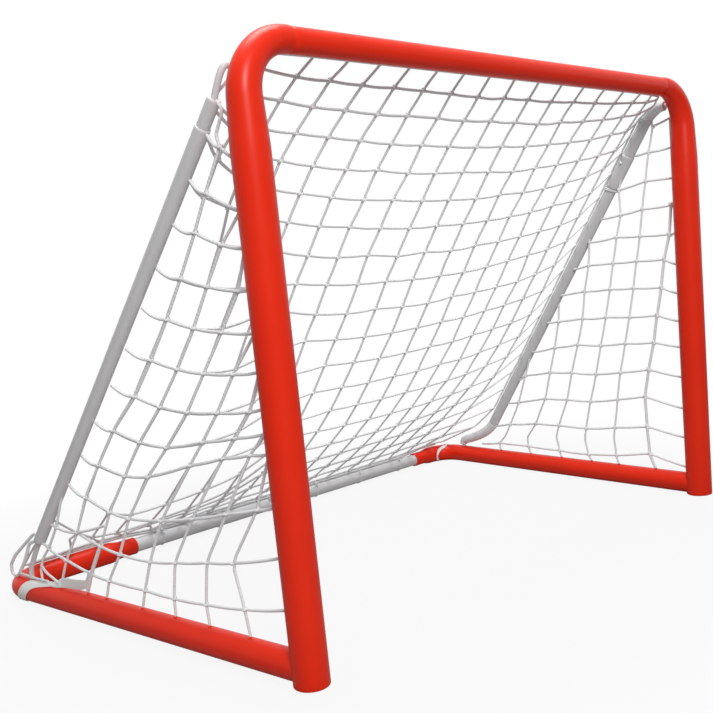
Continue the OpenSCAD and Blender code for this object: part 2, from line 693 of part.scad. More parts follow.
// Points of the edge, by height, from the bend up past the stay and its hook to the hem.
function edge_points(side) =
    let (low = side_place(-edge_seat(side), low_s(side)),
         top = side_place(-edge_seat(side), top_s(side)),
         hook_x = hook_hole_x - edge_seat(side))
    [[net_foot_z, bend_mid], [low_z(side), low], [top_z(side), top],
     [hook_hole_z, [hook_x, post_r + hook_stand_off]], [hem_z, [hook_x, post_r + twine_r + seat_gap]]];
function edge_at(side, z) =
    [for (k = [0, 1]) lookup(z, [for (p = edge_points(side)) [p[0], p[1][k]]])];
function slack_point(u, v) =
    let (mix = pow(arch(u), crowding_spread),
         w = pow(v, edge_crowding) + (pow(v, middle_crowding) - pow(v, edge_crowding)) * mix,
         b = pow(arch(u), belly_spread)
             * (belly_twist * sin(360 * w) - belly_in * sin(180 * w)) * sin(45),
         drift = twist_drift * sin(360 * u) * sin(180 * v)
                 + mid_drift * sin(180 * u) * sin(180 * v),
         foot = base_r - 5)
    [(2 * u - 1) * ((1 - w) * mouth_w / 2 + w * rear_w / 2) + drift,
     (1 - w) * hem_y + w * rear_y + b,
     (1 - w) * hem_z + w * foot + (net_foot_z - foot) * pow(w, low_lift) + b];
function back_point(u, v) =
    let (p = slack_point(u, v), side = u < 0.5 ? -1 : 1, e = slack_point(side < 0 ? 0 : 1, v),
         at = edge_at(side, e[2]), edge = [side * at[0], at[1], e[2]],
         near = min(u, 1 - u) / edge_hold, pull = near >= 1 ? 0 : pow(1 - near, 2))
    p + pull * (edge - e);

function all_true(n) = [for (i = [0:n]) true];
module back_net() {
    grid = [for (i = [0:back_cols]) [for (j = [0:back_rows])
        back_point(i / back_cols, j / back_rows)]];
    keep = [for (i = [0:back_cols]) all_true(back_rows)];
    rows_at = [for (j = [0:back_rows]) true];
    color(twine) placed() lattice(grid, twine_r, keep, rows_at, all_true(back_cols));
}

// Side nets, in the side plane: i counts columns back from the post, j rows down from the top.
side_top_z = mouth_h - 62;
side_low_z = base_d + clip_h + twine_r;
side_first_s = post_r + clip_h + twine_r;
function side_row_z(j) = side_top_z + (side_low_z - side_top_z) * j / side_cells;
function stay_s(side, z) = lookup(z, [[base_d, foot_hole_s],
    [low_z(side) - stay_d(side) / 2, low_s(side) + stay_d(side) / 2 / tan(stay_slope(side))],
    [low_z(side), low_s(side)], [top_z(side), top_s(side)],
    [top_z(side) + 60, top_s(side) - 60]]);
function side_col_s(side, i) = i == 0 ? side_first_s
    : stay_s(side, side_row_z(i))
      - (widest_r(side) + twine_corner + seat_gap) / sin(stay_slope(side));
function side_net_point(side, i, j) =
    let (s = side_col_s(side, i), last = side_col_s(side, max(j, 1)),
         t = min(1, (s - side_first_s) / (last - side_first_s)),
         hang = j == side_cells ? 0 : side_sag * (last - side_first_s) * sin(180 * t))
    [-side_belly * sin(180 * t) * sin(180 * j / side_cells), s, side_row_z(j) - hang];
module side_net(side) {
    grid = [for (i = [0:side_cells]) [for (j = [0:side_cells]) side_net_point(side, i, j)]];
    keep = [for (i = [0:side_cells]) [for (j = [0:side_cells])
        i <= j && i < side_cells && (i > 0 || (j > 0 && j < side_cells))]];
    rows_at = [for (j = [0:side_cells]) j < side_cells];
    cols_at = [for (i = [0:side_cells]) i > 0];
    color(twine) placed() on_side(side) lattice(grid, twine_r, keep, rows_at, cols_at);
}
module left_side_net() side_net(-1);
module right_side_net() side_net(1);

// ---- Net clips: studs on the backs of the tubes, each coped to its tube ---------------------

module crossbar_net_clips()
    color(red) placed() for (i = [1:back_cols - 1]) {
        x = back_point(i / back_cols, 0)[0];
        if (abs(x) < elbow_end_x - clip_d) difference() {
            translate([x, 0, mouth_h]) rotate([-90 - hem_angle, 0, 0])
                cylinder(h = hem_r - twine_corner - seat_gap, d = clip_d);
            translate([-mouth_w, 0, mouth_h]) rotate([0, 90, 0])
                cylinder(h = 2 * mouth_w, r = crossbar_r);
        }
    }

module post_net_clips(side)
    color(red) placed() mirrored(side) difference() {
        translate([mouth_w / 2, 0, 0]) rotate([0, 0, -side_angle]) for (j = [2:side_cells - 1])
            translate([0, 0, side_row_z(j)]) rotate([-90, 0, 0])
                cylinder(h = side_first_s - twine_r - seat_gap, d = clip_d);
        translate([mouth_w / 2, 0, 0]) cylinder(h = mouth_h, r = post_r);
    }

module base_net_clips(side)
    color(red) placed() on_side(side) difference() {
        for (i = [1:side_cells - 1]) translate([0, side_col_s(side, i), base_r])
            cylinder(h = side_low_z - twine_r - seat_gap - base_r, d = clip_d);
        translate([0, 0, base_r]) rotate([-90, 0, 0]) cylinder(h = corner_s, r = base_r);
    }

module left_post_net_clips() post_net_clips(-1);
module right_post_net_clips() post_net_clips(1);
module left_base_net_clips() base_net_clips(-1);
module right_base_net_clips() base_net_clips(1);

// ---- Border rope on the rear bar and its ties ----------------------------------------------

rope_end_in = 40;
rope_ramp = 50;

module border_rope() {
    end_x = rear_w / 2 - rope_end_in;
    left_leg_x = -leg_end_x(-1);
    right_leg_x = leg_end_x(1);
    path = [[-end_x, rear_y, rope_z_leg], [left_leg_x - leg_mouth_len, rear_y, rope_z_leg],
            [left_leg_x + rope_ramp, rear_y, rope_z_bar], [0, rear_y, rope_z_bar],
            [right_leg_x - rope_ramp, rear_y, rope_z_bar],
            [right_leg_x + leg_mouth_len, rear_y, rope_z_leg], [end_x, rear_y, rope_z_leg]];
    color(twine) placed() rod(path, rope_d / 2, 10, [0, 0, 1]);
}

module border_rope_ties() {
    from_x = -leg_end_x(-1) + rope_ramp + 20;
    to_x = leg_end_x(1) - rope_ramp - 20;
    loop_r = rear_r + tie_d / 2 + seat_gap;
    rise = rope_z_bar + rope_d / 2 + tie_d / 2 + seat_gap - base_r - loop_r;
    color(twine) placed() for (i = [0:tie_count - 1])
        translate([from_x + (to_x - from_x) * i / (tie_count - 1), rear_y, base_r])
            rotate([90, 0, 90]) {
                rotate([0, 0, 180]) half_loop(loop_r);
                translate([0, rise, 0]) half_loop(loop_r);
                for (y = [-loop_r, loop_r]) translate([y, 0, 0]) rotate([-90, 0, 0])
                    cylinder(h = rise, d = tie_d);
            }
}
module half_loop(r) rotate_extrude(angle = 180) translate([r, 0]) circle(d = tie_d);

// ---- Corner straps, open where the bars stand on the ground --------------------------------

// A slanted band round a bar along z, cut off below the given height of the bar's axis frame.
module band(bar_r, width, slant)
    intersection() {
        tube(4 * bar_r, bar_r + seat_gap + strap_t, bar_r + seat_gap);
        translate([0, 0, 2 * bar_r]) rotate([0, slant, 0])
            cube([6 * bar_r, 6 * bar_r, width], center = true);
    }

module above_ground(children_span = 3000)
    intersection() {
        children();
        translate([-children_span / 2, -children_span / 2, seat_gap])
            cube([children_span, children_span, base_d + strap_t + 2]);
    }

module left_corner_strap()
    color(white) placed() above_ground() on_side(-1)
        translate([0, corner_s - left_strap_in - 2 * base_r, base_r]) rotate([-90, 0, 0])
            band(base_r, left_strap_w, strap_slant);

module right_corner_band()
    color(white) placed() above_ground()
        translate([leg_start_x + 2 * base_r - right_strap_w, rear_y, base_r]) rotate([0, -90, 0])
            band(base_r, right_strap_w, 0);

left_upright();
right_upright();
left_foot_cap();
right_foot_cap();
crossbar();
left_base_stub();
right_base_stub();
left_base_bar();
right_base_bar();
rear_bar();
left_stay_lower_tube();
left_stay_upper_tube();
left_stay_top_hook();
left_stay_foot_hook();
right_stay_lower_tube();
right_stay_upper_tube();
right_stay_joint_sleeve();
right_stay_top_hook();
right_stay_foot_hook();
right_stay_top_sleeve();
right_stay_foot_sleeve();
crossbar_left_button();
crossbar_right_button();
rear_bar_left_button();
rear_bar_right_button();
left_stay_button();
right_stay_button();
crossbar_left_spring();
crossbar_right_spring();
rear_bar_left_spring();
rear_bar_right_spring();
left_stay_spring();
right_stay_spring();
back_net();
left_side_net();
right_side_net();
crossbar_net_clips();
left_post_net_clips();
right_post_net_clips();
left_base_net_clips();
right_base_net_clips();
border_rope();
border_rope_ties();
left_corner_strap();
right_corner_band();
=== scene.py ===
import json
import math

import bmesh
import bpy
import numpy as np
from mathutils import Matrix, Vector


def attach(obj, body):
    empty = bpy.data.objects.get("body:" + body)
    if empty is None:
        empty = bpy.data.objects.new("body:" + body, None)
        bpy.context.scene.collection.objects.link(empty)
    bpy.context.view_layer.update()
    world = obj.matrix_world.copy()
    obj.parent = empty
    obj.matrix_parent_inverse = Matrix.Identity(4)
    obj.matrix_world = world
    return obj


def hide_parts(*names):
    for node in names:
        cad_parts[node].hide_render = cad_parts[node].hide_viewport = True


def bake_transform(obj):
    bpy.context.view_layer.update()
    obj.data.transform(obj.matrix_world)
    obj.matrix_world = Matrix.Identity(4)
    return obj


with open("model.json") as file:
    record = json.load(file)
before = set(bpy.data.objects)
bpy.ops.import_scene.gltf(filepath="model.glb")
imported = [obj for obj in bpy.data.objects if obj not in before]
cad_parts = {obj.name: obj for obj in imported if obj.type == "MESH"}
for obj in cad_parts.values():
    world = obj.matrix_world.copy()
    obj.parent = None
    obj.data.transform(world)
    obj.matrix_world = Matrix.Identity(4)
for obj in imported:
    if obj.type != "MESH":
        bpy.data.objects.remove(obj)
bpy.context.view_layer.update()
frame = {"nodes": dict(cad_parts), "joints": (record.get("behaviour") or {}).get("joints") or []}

# ---- Camera, floor and light ----------------------------------------------------------------
# The goal is looked at from the front left, a little above the mouth's middle. The floor is plain
# and white, and the light comes from two wide soft panels, in front and overhead.

camera_data = bpy.data.cameras.new("camera")
camera = bpy.data.objects.new("camera", camera_data)
bpy.context.collection.objects.link(camera)
bpy.context.scene.camera = camera
camera_data.sensor_width = 36.0
camera_data.lens = 46.25
camera_data.shift_y = 0.08205
camera_data.clip_end = 60.0
eye = np.array([-1.37975, -1.43677, 0.58383])
right = np.array([0.722888, -0.683537, -0.101040])
up = np.array([0.176512, 0.041303, 0.983432])
back = np.array([-0.668039, -0.728746, 0.150510])
camera.matrix_world = Matrix(np.vstack([np.c_[right, up, back, eye], [0, 0, 0, 1]]).tolist())

bpy.context.scene.view_settings.view_transform = "Standard"
world = bpy.data.worlds.new("studio")
bpy.context.scene.world = world
world.use_nodes = True
nodes, links = world.node_tree.nodes, world.node_tree.links
sky = nodes["Background"]
sky.inputs["Color"].default_value = (1, 1, 1, 1)
ray = nodes.new("ShaderNodeLightPath")
camera_or_gloss = nodes.new("ShaderNodeMath")
camera_or_gloss.operation = "MAXIMUM"
links.new(ray.outputs["Is Camera Ray"], camera_or_gloss.inputs[0])
links.new(ray.outputs["Is Glossy Ray"], camera_or_gloss.inputs[1])
seen_white = nodes.new("ShaderNodeMath")
seen_white.operation = "MAXIMUM"
links.new(camera_or_gloss.outputs[0], seen_white.inputs[0])
links.new(ray.outputs["Is Transmission Ray"], seen_white.inputs[1])
level = nodes.new("ShaderNodeMapRange")
SKY_LIGHT, SKY_SEEN = 0.17, 1.0
level.inputs["To Min"].default_value = SKY_LIGHT
level.inputs["To Max"].default_value = SKY_SEEN
links.new(seen_white.outputs[0], level.inputs["Value"])
links.new(level.outputs[0], sky.inputs["Strength"])


def soft_panel(name, place, aim, size, power):
    data = bpy.data.lights.new(name, "AREA")
    data.shape = "RECTANGLE"
    data.size, data.size_y = size
    data.energy = power
    lamp = bpy.data.objects.new(name, data)
    bpy.context.collection.objects.link(lamp)
    lamp.location = place
    lamp.rotation_mode = "QUATERNION"
    lamp.rotation_quaternion = (Vector(aim) - Vector(place)).to_track_quat("-Z", "Y")


soft_panel("front_panel", (-1.9, -3.0, 2.5), (0.0, 0.0, 0.4), (1.0, 1.0), 104)
soft_panel("top_panel", (0.0, 0.1, 3.6), (0.0, 0.0, 0.0), (2.0, 1.6), 92)

floor_mesh = bpy.data.meshes.new("floor")
floor_mesh.from_pydata([(-9, -9, 0), (9, -9, 0), (9, 9, 0), (-9, 9, 0)], [], [(0, 1, 2, 3)])
floor = bpy.data.objects.new("floor", floor_mesh)
FLOOR_DROP = 0.0005
floor.location.z = -FLOOR_DROP
bpy.context.collection.objects.link(floor)
floor_paint = bpy.data.materials.new("floor_white")
floor_paint.use_nodes = True
nodes, links = floor_paint.node_tree.nodes, floor_paint.node_tree.links
nodes["Principled BSDF"].inputs["Base Color"].default_value = (0.38, 0.38, 0.38, 1)
nodes["Principled BSDF"].inputs["Roughness"].default_value = 0.9
nodes["Principled BSDF"].inputs["Specular IOR Level"].default_value = 0.1
glow = nodes.new("ShaderNodeEmission")
glow.inputs["Color"].default_value = (1, 1, 1, 1)
where = nodes.new("ShaderNodeNewGeometry")
reach = nodes.new("ShaderNodeVectorMath")
reach.operation = "LENGTH"
fade = nodes.new("ShaderNodeMapRange")
SHADOW_REACH, PLAIN_WHITE_FROM = 0.75, 1.5
fade.inputs["From Min"].default_value = SHADOW_REACH
fade.inputs["From Max"].default_value = PLAIN_WHITE_FROM
fade.inputs["To Min"].default_value = 0.90
fade.inputs["To Max"].default_value = 1.0
ray = nodes.new("ShaderNodeLightPath")
far_and_seen = nodes.new("ShaderNodeMath")
far_and_seen.operation = "MULTIPLY"
cover = nodes.new("ShaderNodeMixShader")
links.new(where.outputs["Position"], reach.inputs[0])
links.new(reach.outputs["Value"], fade.inputs["Value"])
links.new(fade.outputs[0], far_and_seen.inputs[0])
links.new(ray.outputs["Is Camera Ray"], far_and_seen.inputs[1])
links.new(far_and_seen.outputs[0], cover.inputs[0])
links.new(nodes["Principled BSDF"].outputs[0], cover.inputs[1])
links.new(glow.outputs[0], cover.inputs[2])
links.new(cover.outputs[0], nodes["Material Output"].inputs["Surface"])
floor_mesh.materials.append(floor_paint)

# ---- Uprights -------------------------------------------------------------------------------
# Each upright is one steel tube in a soft gloss red powder coat: a straight post that is bent
# over at the top and swaged down to the crossbar's size on the way. Its end slips into the
# crossbar.


def coat(name, colour, darker, roughness, grain, grain_size, gloss=0.5, metal=0.0):
    """A finish: clouds in its colour, a little variation in its gloss and a fine grain."""
    paint = bpy.data.materials.new(name)
    paint.use_nodes = True
    nodes, links = paint.node_tree.nodes, paint.node_tree.links
    shader = nodes["Principled BSDF"]
    shader.inputs["Specular IOR Level"].default_value = gloss
    shader.inputs["Metallic"].default_value = metal
    place = nodes.new("ShaderNodeTexCoord")
    clouds = nodes.new("ShaderNodeTexNoise")
    clouds.inputs["Scale"].default_value = 9.0
    clouds.inputs["Detail"].default_value = 4.0
    links.new(place.outputs["Object"], clouds.inputs["Vector"])
    tint = nodes.new("ShaderNodeMix")
    tint.data_type = "RGBA"
    tint.inputs["A"].default_value = (*colour, 1)
    tint.inputs["B"].default_value = (*darker, 1)
    links.new(clouds.outputs["Fac"], tint.inputs["Factor"])
    links.new(tint.outputs["Result"], shader.inputs["Base Color"])
    sheen = nodes.new("ShaderNodeMapRange")
    sheen.inputs["To Min"].default_value = roughness - 0.04
    sheen.inputs["To Max"].default_value = roughness + 0.05
    links.new(clouds.outputs["Fac"], sheen.inputs["Value"])
    links.new(sheen.outputs[0], shader.inputs["Roughness"])
    peel = nodes.new("ShaderNodeTexNoise")
    peel.inputs["Scale"].default_value = grain_size
    peel.inputs["Detail"].default_value = 2.0
    links.new(place.outputs["Object"], peel.inputs["Vector"])
    bump = nodes.new("ShaderNodeBump")
    bump.inputs["Strength"].default_value = grain
    bump.inputs["Distance"].default_value = 0.0004
    links.new(peel.outputs["Fac"], bump.inputs["Height"])
    links.new(bump.outputs["Normal"], shader.inputs["Normal"])
    return paint


def finish_node(name, paint):
    """Gives a carried-over solid its finish."""
    mesh = frame["nodes"][name].data
    mesh.materials.clear()
    mesh.materials.append(paint)


def unit(v):
    return v / np.linalg.norm(v)


def swept(points, radii, sides=32, ends=True, roll=None):
    """A round tube or cord along points, with a radius at each. Its UV runs along it in metres."""
    p = np.array(points, float)
    n = len(p)
    r = np.broadcast_to(np.array(radii, float), (n,))
    along = np.gradient(p, axis=0)
    along /= np.linalg.norm(along, axis=1)[:, None]
    side = np.array(roll if roll is not None else (0, 0, 1) if abs(along[0][2]) < 0.9
                    else (1, 0, 0), float)
    turn = np.linspace(0, 2 * math.pi, sides, endpoint=False)
    rings = []
    for centre, radius, way in zip(p, r, along):
        side = unit(side - way * np.dot(side, way))
        rings.append(centre + radius * (np.cos(turn)[:, None] * side
                                        + np.sin(turn)[:, None] * np.cross(way, side)))
    faces = [(i * sides + k, i * sides + (k + 1) % sides,
              (i + 1) * sides + (k + 1) % sides, (i + 1) * sides + k)
             for i in range(n - 1) for k in range(sides)]
    run = np.concatenate([[0], np.cumsum(np.linalg.norm(np.diff(p, axis=0), axis=1))])
    uv = [q for i in range(n - 1) for k in range(sides)
          for q in ((k / sides, run[i]), ((k + 1) / sides, run[i]),
                    ((k + 1) / sides, run[i + 1]), (k / sides, run[i + 1]))]
    if ends:
        faces.append(tuple(reversed(range(sides))))
        faces.append(tuple(range((n - 1) * sides, n * sides)))
        uv += [(0, 0)] * sides * 2
    return np.concatenate(rings), faces, uv


def pipe(points, radii, bore, sides=48, roll=None):
    """A hollow tube along points: its outside, its bore and its two end rims."""
    outer = swept(points, radii, sides, False, roll)
    inner = swept(points, np.broadcast_to(bore, (len(points),)), sides, False, roll)
    last = (len(points) - 1) * sides
    total = len(points) * sides
    faces = outer[1] + [tuple(total + k for k in reversed(f)) for f in inner[1]]
    uv = outer[2] + [q for i in range(0, len(inner[2]), 4) for q in reversed(inner[2][i:i + 4])]
    for k in range(sides):
        m = (k + 1) % sides
        faces.append((m, k, total + k, total + m))
        faces.append((last + k, last + m, total + last + m, total + last + k))
        uv += [(0, 0)] * 8
    return np.concatenate([outer[0], inner[0]]), faces, uv


def piece(name, parts, paint, replaced=()):
    """One object from several (verts, faces, uv) parts, in its paint, fixed to the frame."""
    verts, faces, uv, base = [], [], [], 0
    for v, f, u in parts:
        verts.append(v)
        faces += [tuple(base + k for k in face) for face in f]
        uv += u
        base += len(v)
    mesh = bpy.data.meshes.new(name)
    mesh.from_pydata(np.concatenate(verts).tolist(), [], faces)
    layer = mesh.uv_layers.new(name="along")
    layer.data.foreach_set("uv", np.array(uv, np.float32).ravel())
    mesh.polygons.foreach_set("use_smooth", [True] * len(mesh.polygons))
    mesh.set_sharp_from_angle(angle=math.radians(50))
    mesh.materials.append(paint)
    obj = bpy.data.objects.new(name, mesh)
    bpy.context.collection.objects.link(obj)
    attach(obj, "frame")
    if replaced:
        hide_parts(*replaced)
    return obj


red_coat = coat("red_powder_coat", (0.80, 0.026, 0.004), (0.70, 0.018, 0.003), 0.34, 0.12, 420,
                gloss=0.2)
FRONT_Y = -0.431
MOUTH, HEIGHT, BEND = 0.600, 0.912, 0.082
POST_R, ELBOW_END_R, POST_WALL, TAPER_LEAD = 0.028, 0.0189, 0.002, 0.064
POST_FOOT_Z = 0.0044
bend_x, bend_z = MOUTH - BEND, HEIGHT - BEND
taper_z = bend_z - TAPER_LEAD
taper_len = TAPER_LEAD + BEND * math.pi / 2 + 0.003

straight = [(MOUTH, FRONT_Y, z) for z in np.linspace(POST_FOOT_Z, taper_z, 14)]
lead = [(MOUTH, FRONT_Y, z) for z in np.linspace(taper_z, bend_z, 6)[1:]]
elbow = [(bend_x + BEND * math.cos(a), FRONT_Y, bend_z + BEND * math.sin(a))
         for a in np.linspace(0, math.pi / 2, 33)[1:]]
rolled_rim = [(bend_x - x, FRONT_Y, HEIGHT) for x in (0.003, 0.0038, 0.004)]
route = np.array(straight + lead + elbow + rolled_rim)
run = np.concatenate([[0], np.cumsum(np.linalg.norm(np.diff(route, axis=0), axis=1))])
swage = np.clip((run - run[len(straight) - 1]) / taper_len, 0, 1)
radii = POST_R + (ELBOW_END_R - POST_R) * swage
radii[-2:] -= [0.0002, 0.0007]
for side, name in ((-1, "left_upright"), (1, "right_upright")):
    piece(name + "_tube", [pipe(route * [side, 1, 1], radii, radii - POST_WALL, 56, (0, 1, 0))],
          red_coat, [name])

# ---- Foot caps ------------------------------------------------------------------------------
# A moulded red cap closes the foot of each post. Its rounded flange stands on the ground.

red_plastic = coat("red_moulded_cap", (0.78, 0.026, 0.005), (0.68, 0.018, 0.003), 0.42, 0.1, 900,
                   gloss=0.25)
for name in ("left_foot_cap", "right_foot_cap"):
    finish_node(name, red_plastic)

# ---- Crossbar -------------------------------------------------------------------------------
# The crossbar is a plain thinner tube between the elbows, in the same red coat. Its ends butt
# against the elbows with a fine dark seam.

CROSSBAR_R, CROSSBAR_WALL = 0.0185, 0.0015
bar_end = bend_x - 0.0038
rim = 0.0003
bar_x = np.concatenate([[-bar_end, -bar_end + rim], np.linspace(-0.5, 0.5, 41),
                        [bar_end - rim, bar_end]])
radii = np.full(len(bar_x), CROSSBAR_R)
radii[[0, -1]] -= rim
piece("crossbar_tube", [pipe([(x, FRONT_Y, HEIGHT) for x in bar_x], radii, radii - CROSSBAR_WALL,
                             48, (0, 1, 0))], red_coat, ["crossbar"])

# ---- Base bars ------------------------------------------------------------------------------
# Each side bar, its rear corner and its rear leg are one bent tube in the red coat. Its front
# end is coped to the post, with a steel stub inside. The leg narrows to a mouth that takes the
# rear bar.

BASE_R, BASE_Z, BASE_WALL, CORNER_R = 0.0235, 0.0235, 0.0018, 0.060
REAR_HALF, DEPTH = 0.685, 0.865
REAR_Y = FRONT_Y + DEPTH
SIDE_ANGLE = math.atan2(REAR_HALF - MOUTH, DEPTH)
corner_s = DEPTH / math.cos(SIDE_ANGLE)
corner_turn = math.pi / 2 + SIDE_ANGLE
corner_tangent = CORNER_R * math.tan(corner_turn / 2)
bend_s = corner_s - corner_tangent
outwards = np.array([math.cos(SIDE_ANGLE), -math.sin(SIDE_ANGLE), 0])
backwards = np.array([math.sin(SIDE_ANGLE), math.cos(SIDE_ANGLE), 0])


def side_place(x, s, z):
    """A point of the right side plane: x outwards, s back from the post along the side bar."""
    return np.array([MOUTH, FRONT_Y, z]) + x * outwards + s * backwards


COPE_OVERLAP = 0.0004


def coped(tube, sides):
    """Cuts the first ring of a tube, and of its bore, to the post's round."""
    verts = tube[0]
    for first in (0, len(verts) // 2):
        for k in range(first, first + sides):
            x = np.dot(verts[k] - [MOUTH, FRONT_Y, 0], outwards)
            verts[k] = side_place(x, math.sqrt(POST_R ** 2 - x * x) - COPE_OVERLAP,
                                  verts[k][2])
    return tube


MOUTH_R, MOUTH_BORE, MOUTH_LEN, NECK_LEN = 0.01915, 0.01615, 0.036, 0.030
# Where the leg has narrowed below this radius, its bore is the mouth's.
NARROWED_R = 0.0205
for side, name, leg in ((-1, "left_base_bar", 0.290), (1, "right_base_bar", 0.140)):
    route = [side_place(0, s, BASE_Z) for s in np.linspace(0.022, bend_s, 30)]
    for a in np.linspace(0, corner_turn, 25)[1:]:
        route.append(side_place(CORNER_R * (math.cos(a) - 1), bend_s + CORNER_R * math.sin(a),
                                BASE_Z))
    leg_end = REAR_HALF - leg
    neck = leg_end + MOUTH_LEN + NECK_LEN
    for x in np.linspace(REAR_HALF - corner_tangent, neck, 8)[1:]:
        route.append((x, REAR_Y, BASE_Z))
    radii = [BASE_R] * len(route)
    for k in np.linspace(0, 1, 9)[1:]:
        route.append((neck - NECK_LEN * k, REAR_Y, BASE_Z))
        radii.append(BASE_R + (MOUTH_R - BASE_R) * (3 * k * k - 2 * k ** 3))
    for x, r in ((0.018, MOUTH_R), (0.0008, MOUTH_R), (0, MOUTH_R - 0.0006)):
        route.append((leg_end + x, REAR_Y, BASE_Z))
        radii.append(r)
    radii = np.array(radii)
    bore = np.minimum(radii - BASE_WALL, np.where(radii < NARROWED_R, MOUTH_BORE, 1))
    verts, faces, uv = coped(pipe(route, radii, bore, 48, (0, 0, 1)), 48)
    if side < 0:
        verts = verts * [-1, 1, 1]
        faces = [tuple(reversed(f)) for f in faces]
        turned, at = [], 0
        for f in faces:
            turned += reversed(uv[at:at + len(f)])
            at += len(f)
        uv = turned
    piece(name + "_tube", [(verts, faces, uv)], red_coat, [name])

bare_steel = coat("bare_steel", (0.42, 0.43, 0.45), (0.36, 0.37, 0.39), 0.35, 0.1, 300, metal=1.0)
for name in ("left_base_stub", "right_base_stub"):
    finish_node(name, bare_steel)

# ---- Rear bar -------------------------------------------------------------------------------
# A thinner steel tube in a pale grey coat, pushed into the mouths of both legs.

grey_coat = coat("grey_coat", (0.67, 0.67, 0.68), (0.58, 0.58, 0.59), 0.38, 0.1, 500, gloss=0.4)
REAR_BAR_R, REAR_BAR_WALL, REAR_BAR_ENDS = 0.016, 0.0015, (-0.453, 0.603)
rear_x = np.linspace(*REAR_BAR_ENDS, 45)
piece("rear_bar_tube", [pipe([(x, REAR_Y, BASE_Z) for x in rear_x], REAR_BAR_R,
                             REAR_BAR_R - REAR_BAR_WALL, 40, (0, 0, 1))],
      grey_coat, ["rear_bar"])

# ---- Stays ----------------------------------------------------------------------------------
# Each stay is a lower and an upper grey tube. On the left the upper one slides into the lower
# one; on the right a wider sleeve joins them. Bent rods at their ends hook into the elbow and
# into the side bar.

stay = {
    "left": dict(side=-1, top=(0.060, 0.841), low=(corner_s - 0.146, 0.134), r=0.0120,
                 upper_r=0.01035, joint=0.045),
    "right": dict(side=1, top=(0.089, 0.867), low=(corner_s - 0.222, 0.126), r=0.0135,
                  upper_r=0.0135, joint=0.092),
}
for d in stay.values():
    rise = np.array(d["top"]) - np.array(d["low"])
    d["length"] = float(np.linalg.norm(rise))
    d["run"] = rise / d["length"]


def on_stay(which, h, out=0.0, front=0.0):
    """A point h up the stay from its lower tube's foot, out of its side, or towards the post."""
    d = stay[which]
    run_s, run_z = d["run"]
    s, z = np.array(d["low"]) + h * d["run"] + front * np.array([-run_z, run_s])
    return side_place(out, s, z) * [d["side"], 1, 1]


def straight_tube(which, lo, hi, r, wall, lip=0.0006):
    h = np.concatenate([[lo, lo + lip], np.linspace(lo + 0.004, hi - 0.004, 24), [hi - lip, hi]])
    radii = np.full(len(h), r)
    radii[[0, -1]] -= lip
    return pipe([on_stay(which, k) for k in h], radii, radii - wall, 36)


STAY_WALL, INSERT = 0.0015, 0.040
# The right lower tube stops this far under its sleeve's top.
LOWER_STOP = 0.0403
COUPLING_R, COUPLING_LEN, COUPLING_WALL = 0.01565, 0.082, 0.002
for which, d in stay.items():
    joint = d["length"] - d["joint"]
    lower_end = joint if which == "left" else joint - LOWER_STOP
    piece(which + "_stay_lower", [straight_tube(which, 0, lower_end, d["r"], STAY_WALL)],
          grey_coat, [which + "_stay_lower_tube"])
    piece(which + "_stay_upper",
          [straight_tube(which, joint - INSERT, d["length"], d["upper_r"], STAY_WALL)],
          grey_coat, [which + "_stay_upper_tube"])
joint = stay["right"]["length"] - stay["right"]["joint"]
piece("right_stay_sleeve", [straight_tube("right", joint - COUPLING_LEN, joint, COUPLING_R,
                                          COUPLING_WALL, 0.001)],
      grey_coat, ["right_stay_joint_sleeve"])

HOOK_R, TIGHT, ROD_IN_PLUG, PLUG_LEN, PLUG_INSET = 0.005, 0.012, 0.013, 0.014, 0.00165
FOOT_HOLE_S = bend_s - 0.025
hook_z = HEIGHT - 0.030
hook_x = bend_x + BEND * math.cos(math.asin((hook_z - bend_z) / BEND))


def to_side(x, y, z):
    """A point beside the right post, in the side plane's own directions."""
    offset = np.array([x - MOUTH, y, 0])
    return np.array([np.dot(offset, outwards), np.dot(offset, backwards), z])


def curve(a, c, b, steps):
    t = np.linspace(0, 1, steps + 1)[:, None]
    return (1 - t) ** 2 * a + 2 * t * (1 - t) * c + t * t * b


def hook_route(which, top):
    """The rod's route in the side plane: out of the tube, round a wide bend, into its hole."""
    d = stay[which]
    head, foot = np.array([0, *d["top"]]), np.array([0, *d["low"]])
    run = unit(head - foot)
    if top:
        start, first = head - ROD_IN_PLUG * run, head
        turn = head + 0.030 * run
        turn[2] = hook_z
        corner = to_side(hook_x, POST_R + 0.014, hook_z)
        finish = to_side(hook_x, 0.015, hook_z)
    else:
        start, first = foot + ROD_IN_PLUG * run, foot
        turn = foot - 0.045 * run
        corner = np.array([0, FOOT_HOLE_S, 0.065])
        finish = np.array([0, FOOT_HOLE_S, 0.031])
    a = corner - TIGHT * unit(corner - turn)
    b = corner + TIGHT * unit(finish - corner)
    return np.vstack([[start], curve(first, turn, a, 18), curve(a, corner, b, 8)[1:], [finish]])


def to_world(route, side):
    return np.array([side_place(*q) for q in route]) * [side, 1, 1]


for which, d in stay.items():
    for end in ("top", "foot"):
        rod = swept(to_world(hook_route(which, end == "top"), d["side"]), HOOK_R, 20)
        # The plug that closes the tube's mouth round the rod.
        r = (d["upper_r"] if end == "top" else d["r"]) - PLUG_INSET
        lo, hi = (d["length"] - PLUG_LEN, d["length"]) if end == "top" else (0.0, PLUG_LEN)
        plug = swept([on_stay(which, h) for h in np.linspace(lo, hi, 5)], r, 28)
        piece(f"{which}_{end}_hook", [rod, plug], grey_coat,
              [f"{which}_stay_{end}_hook"])

# ---- White sleeves --------------------------------------------------------------------------
# Soft white plastic hose is pushed over both hooks of the right stay and round their tight bends,
# so that they don't mark the frame.

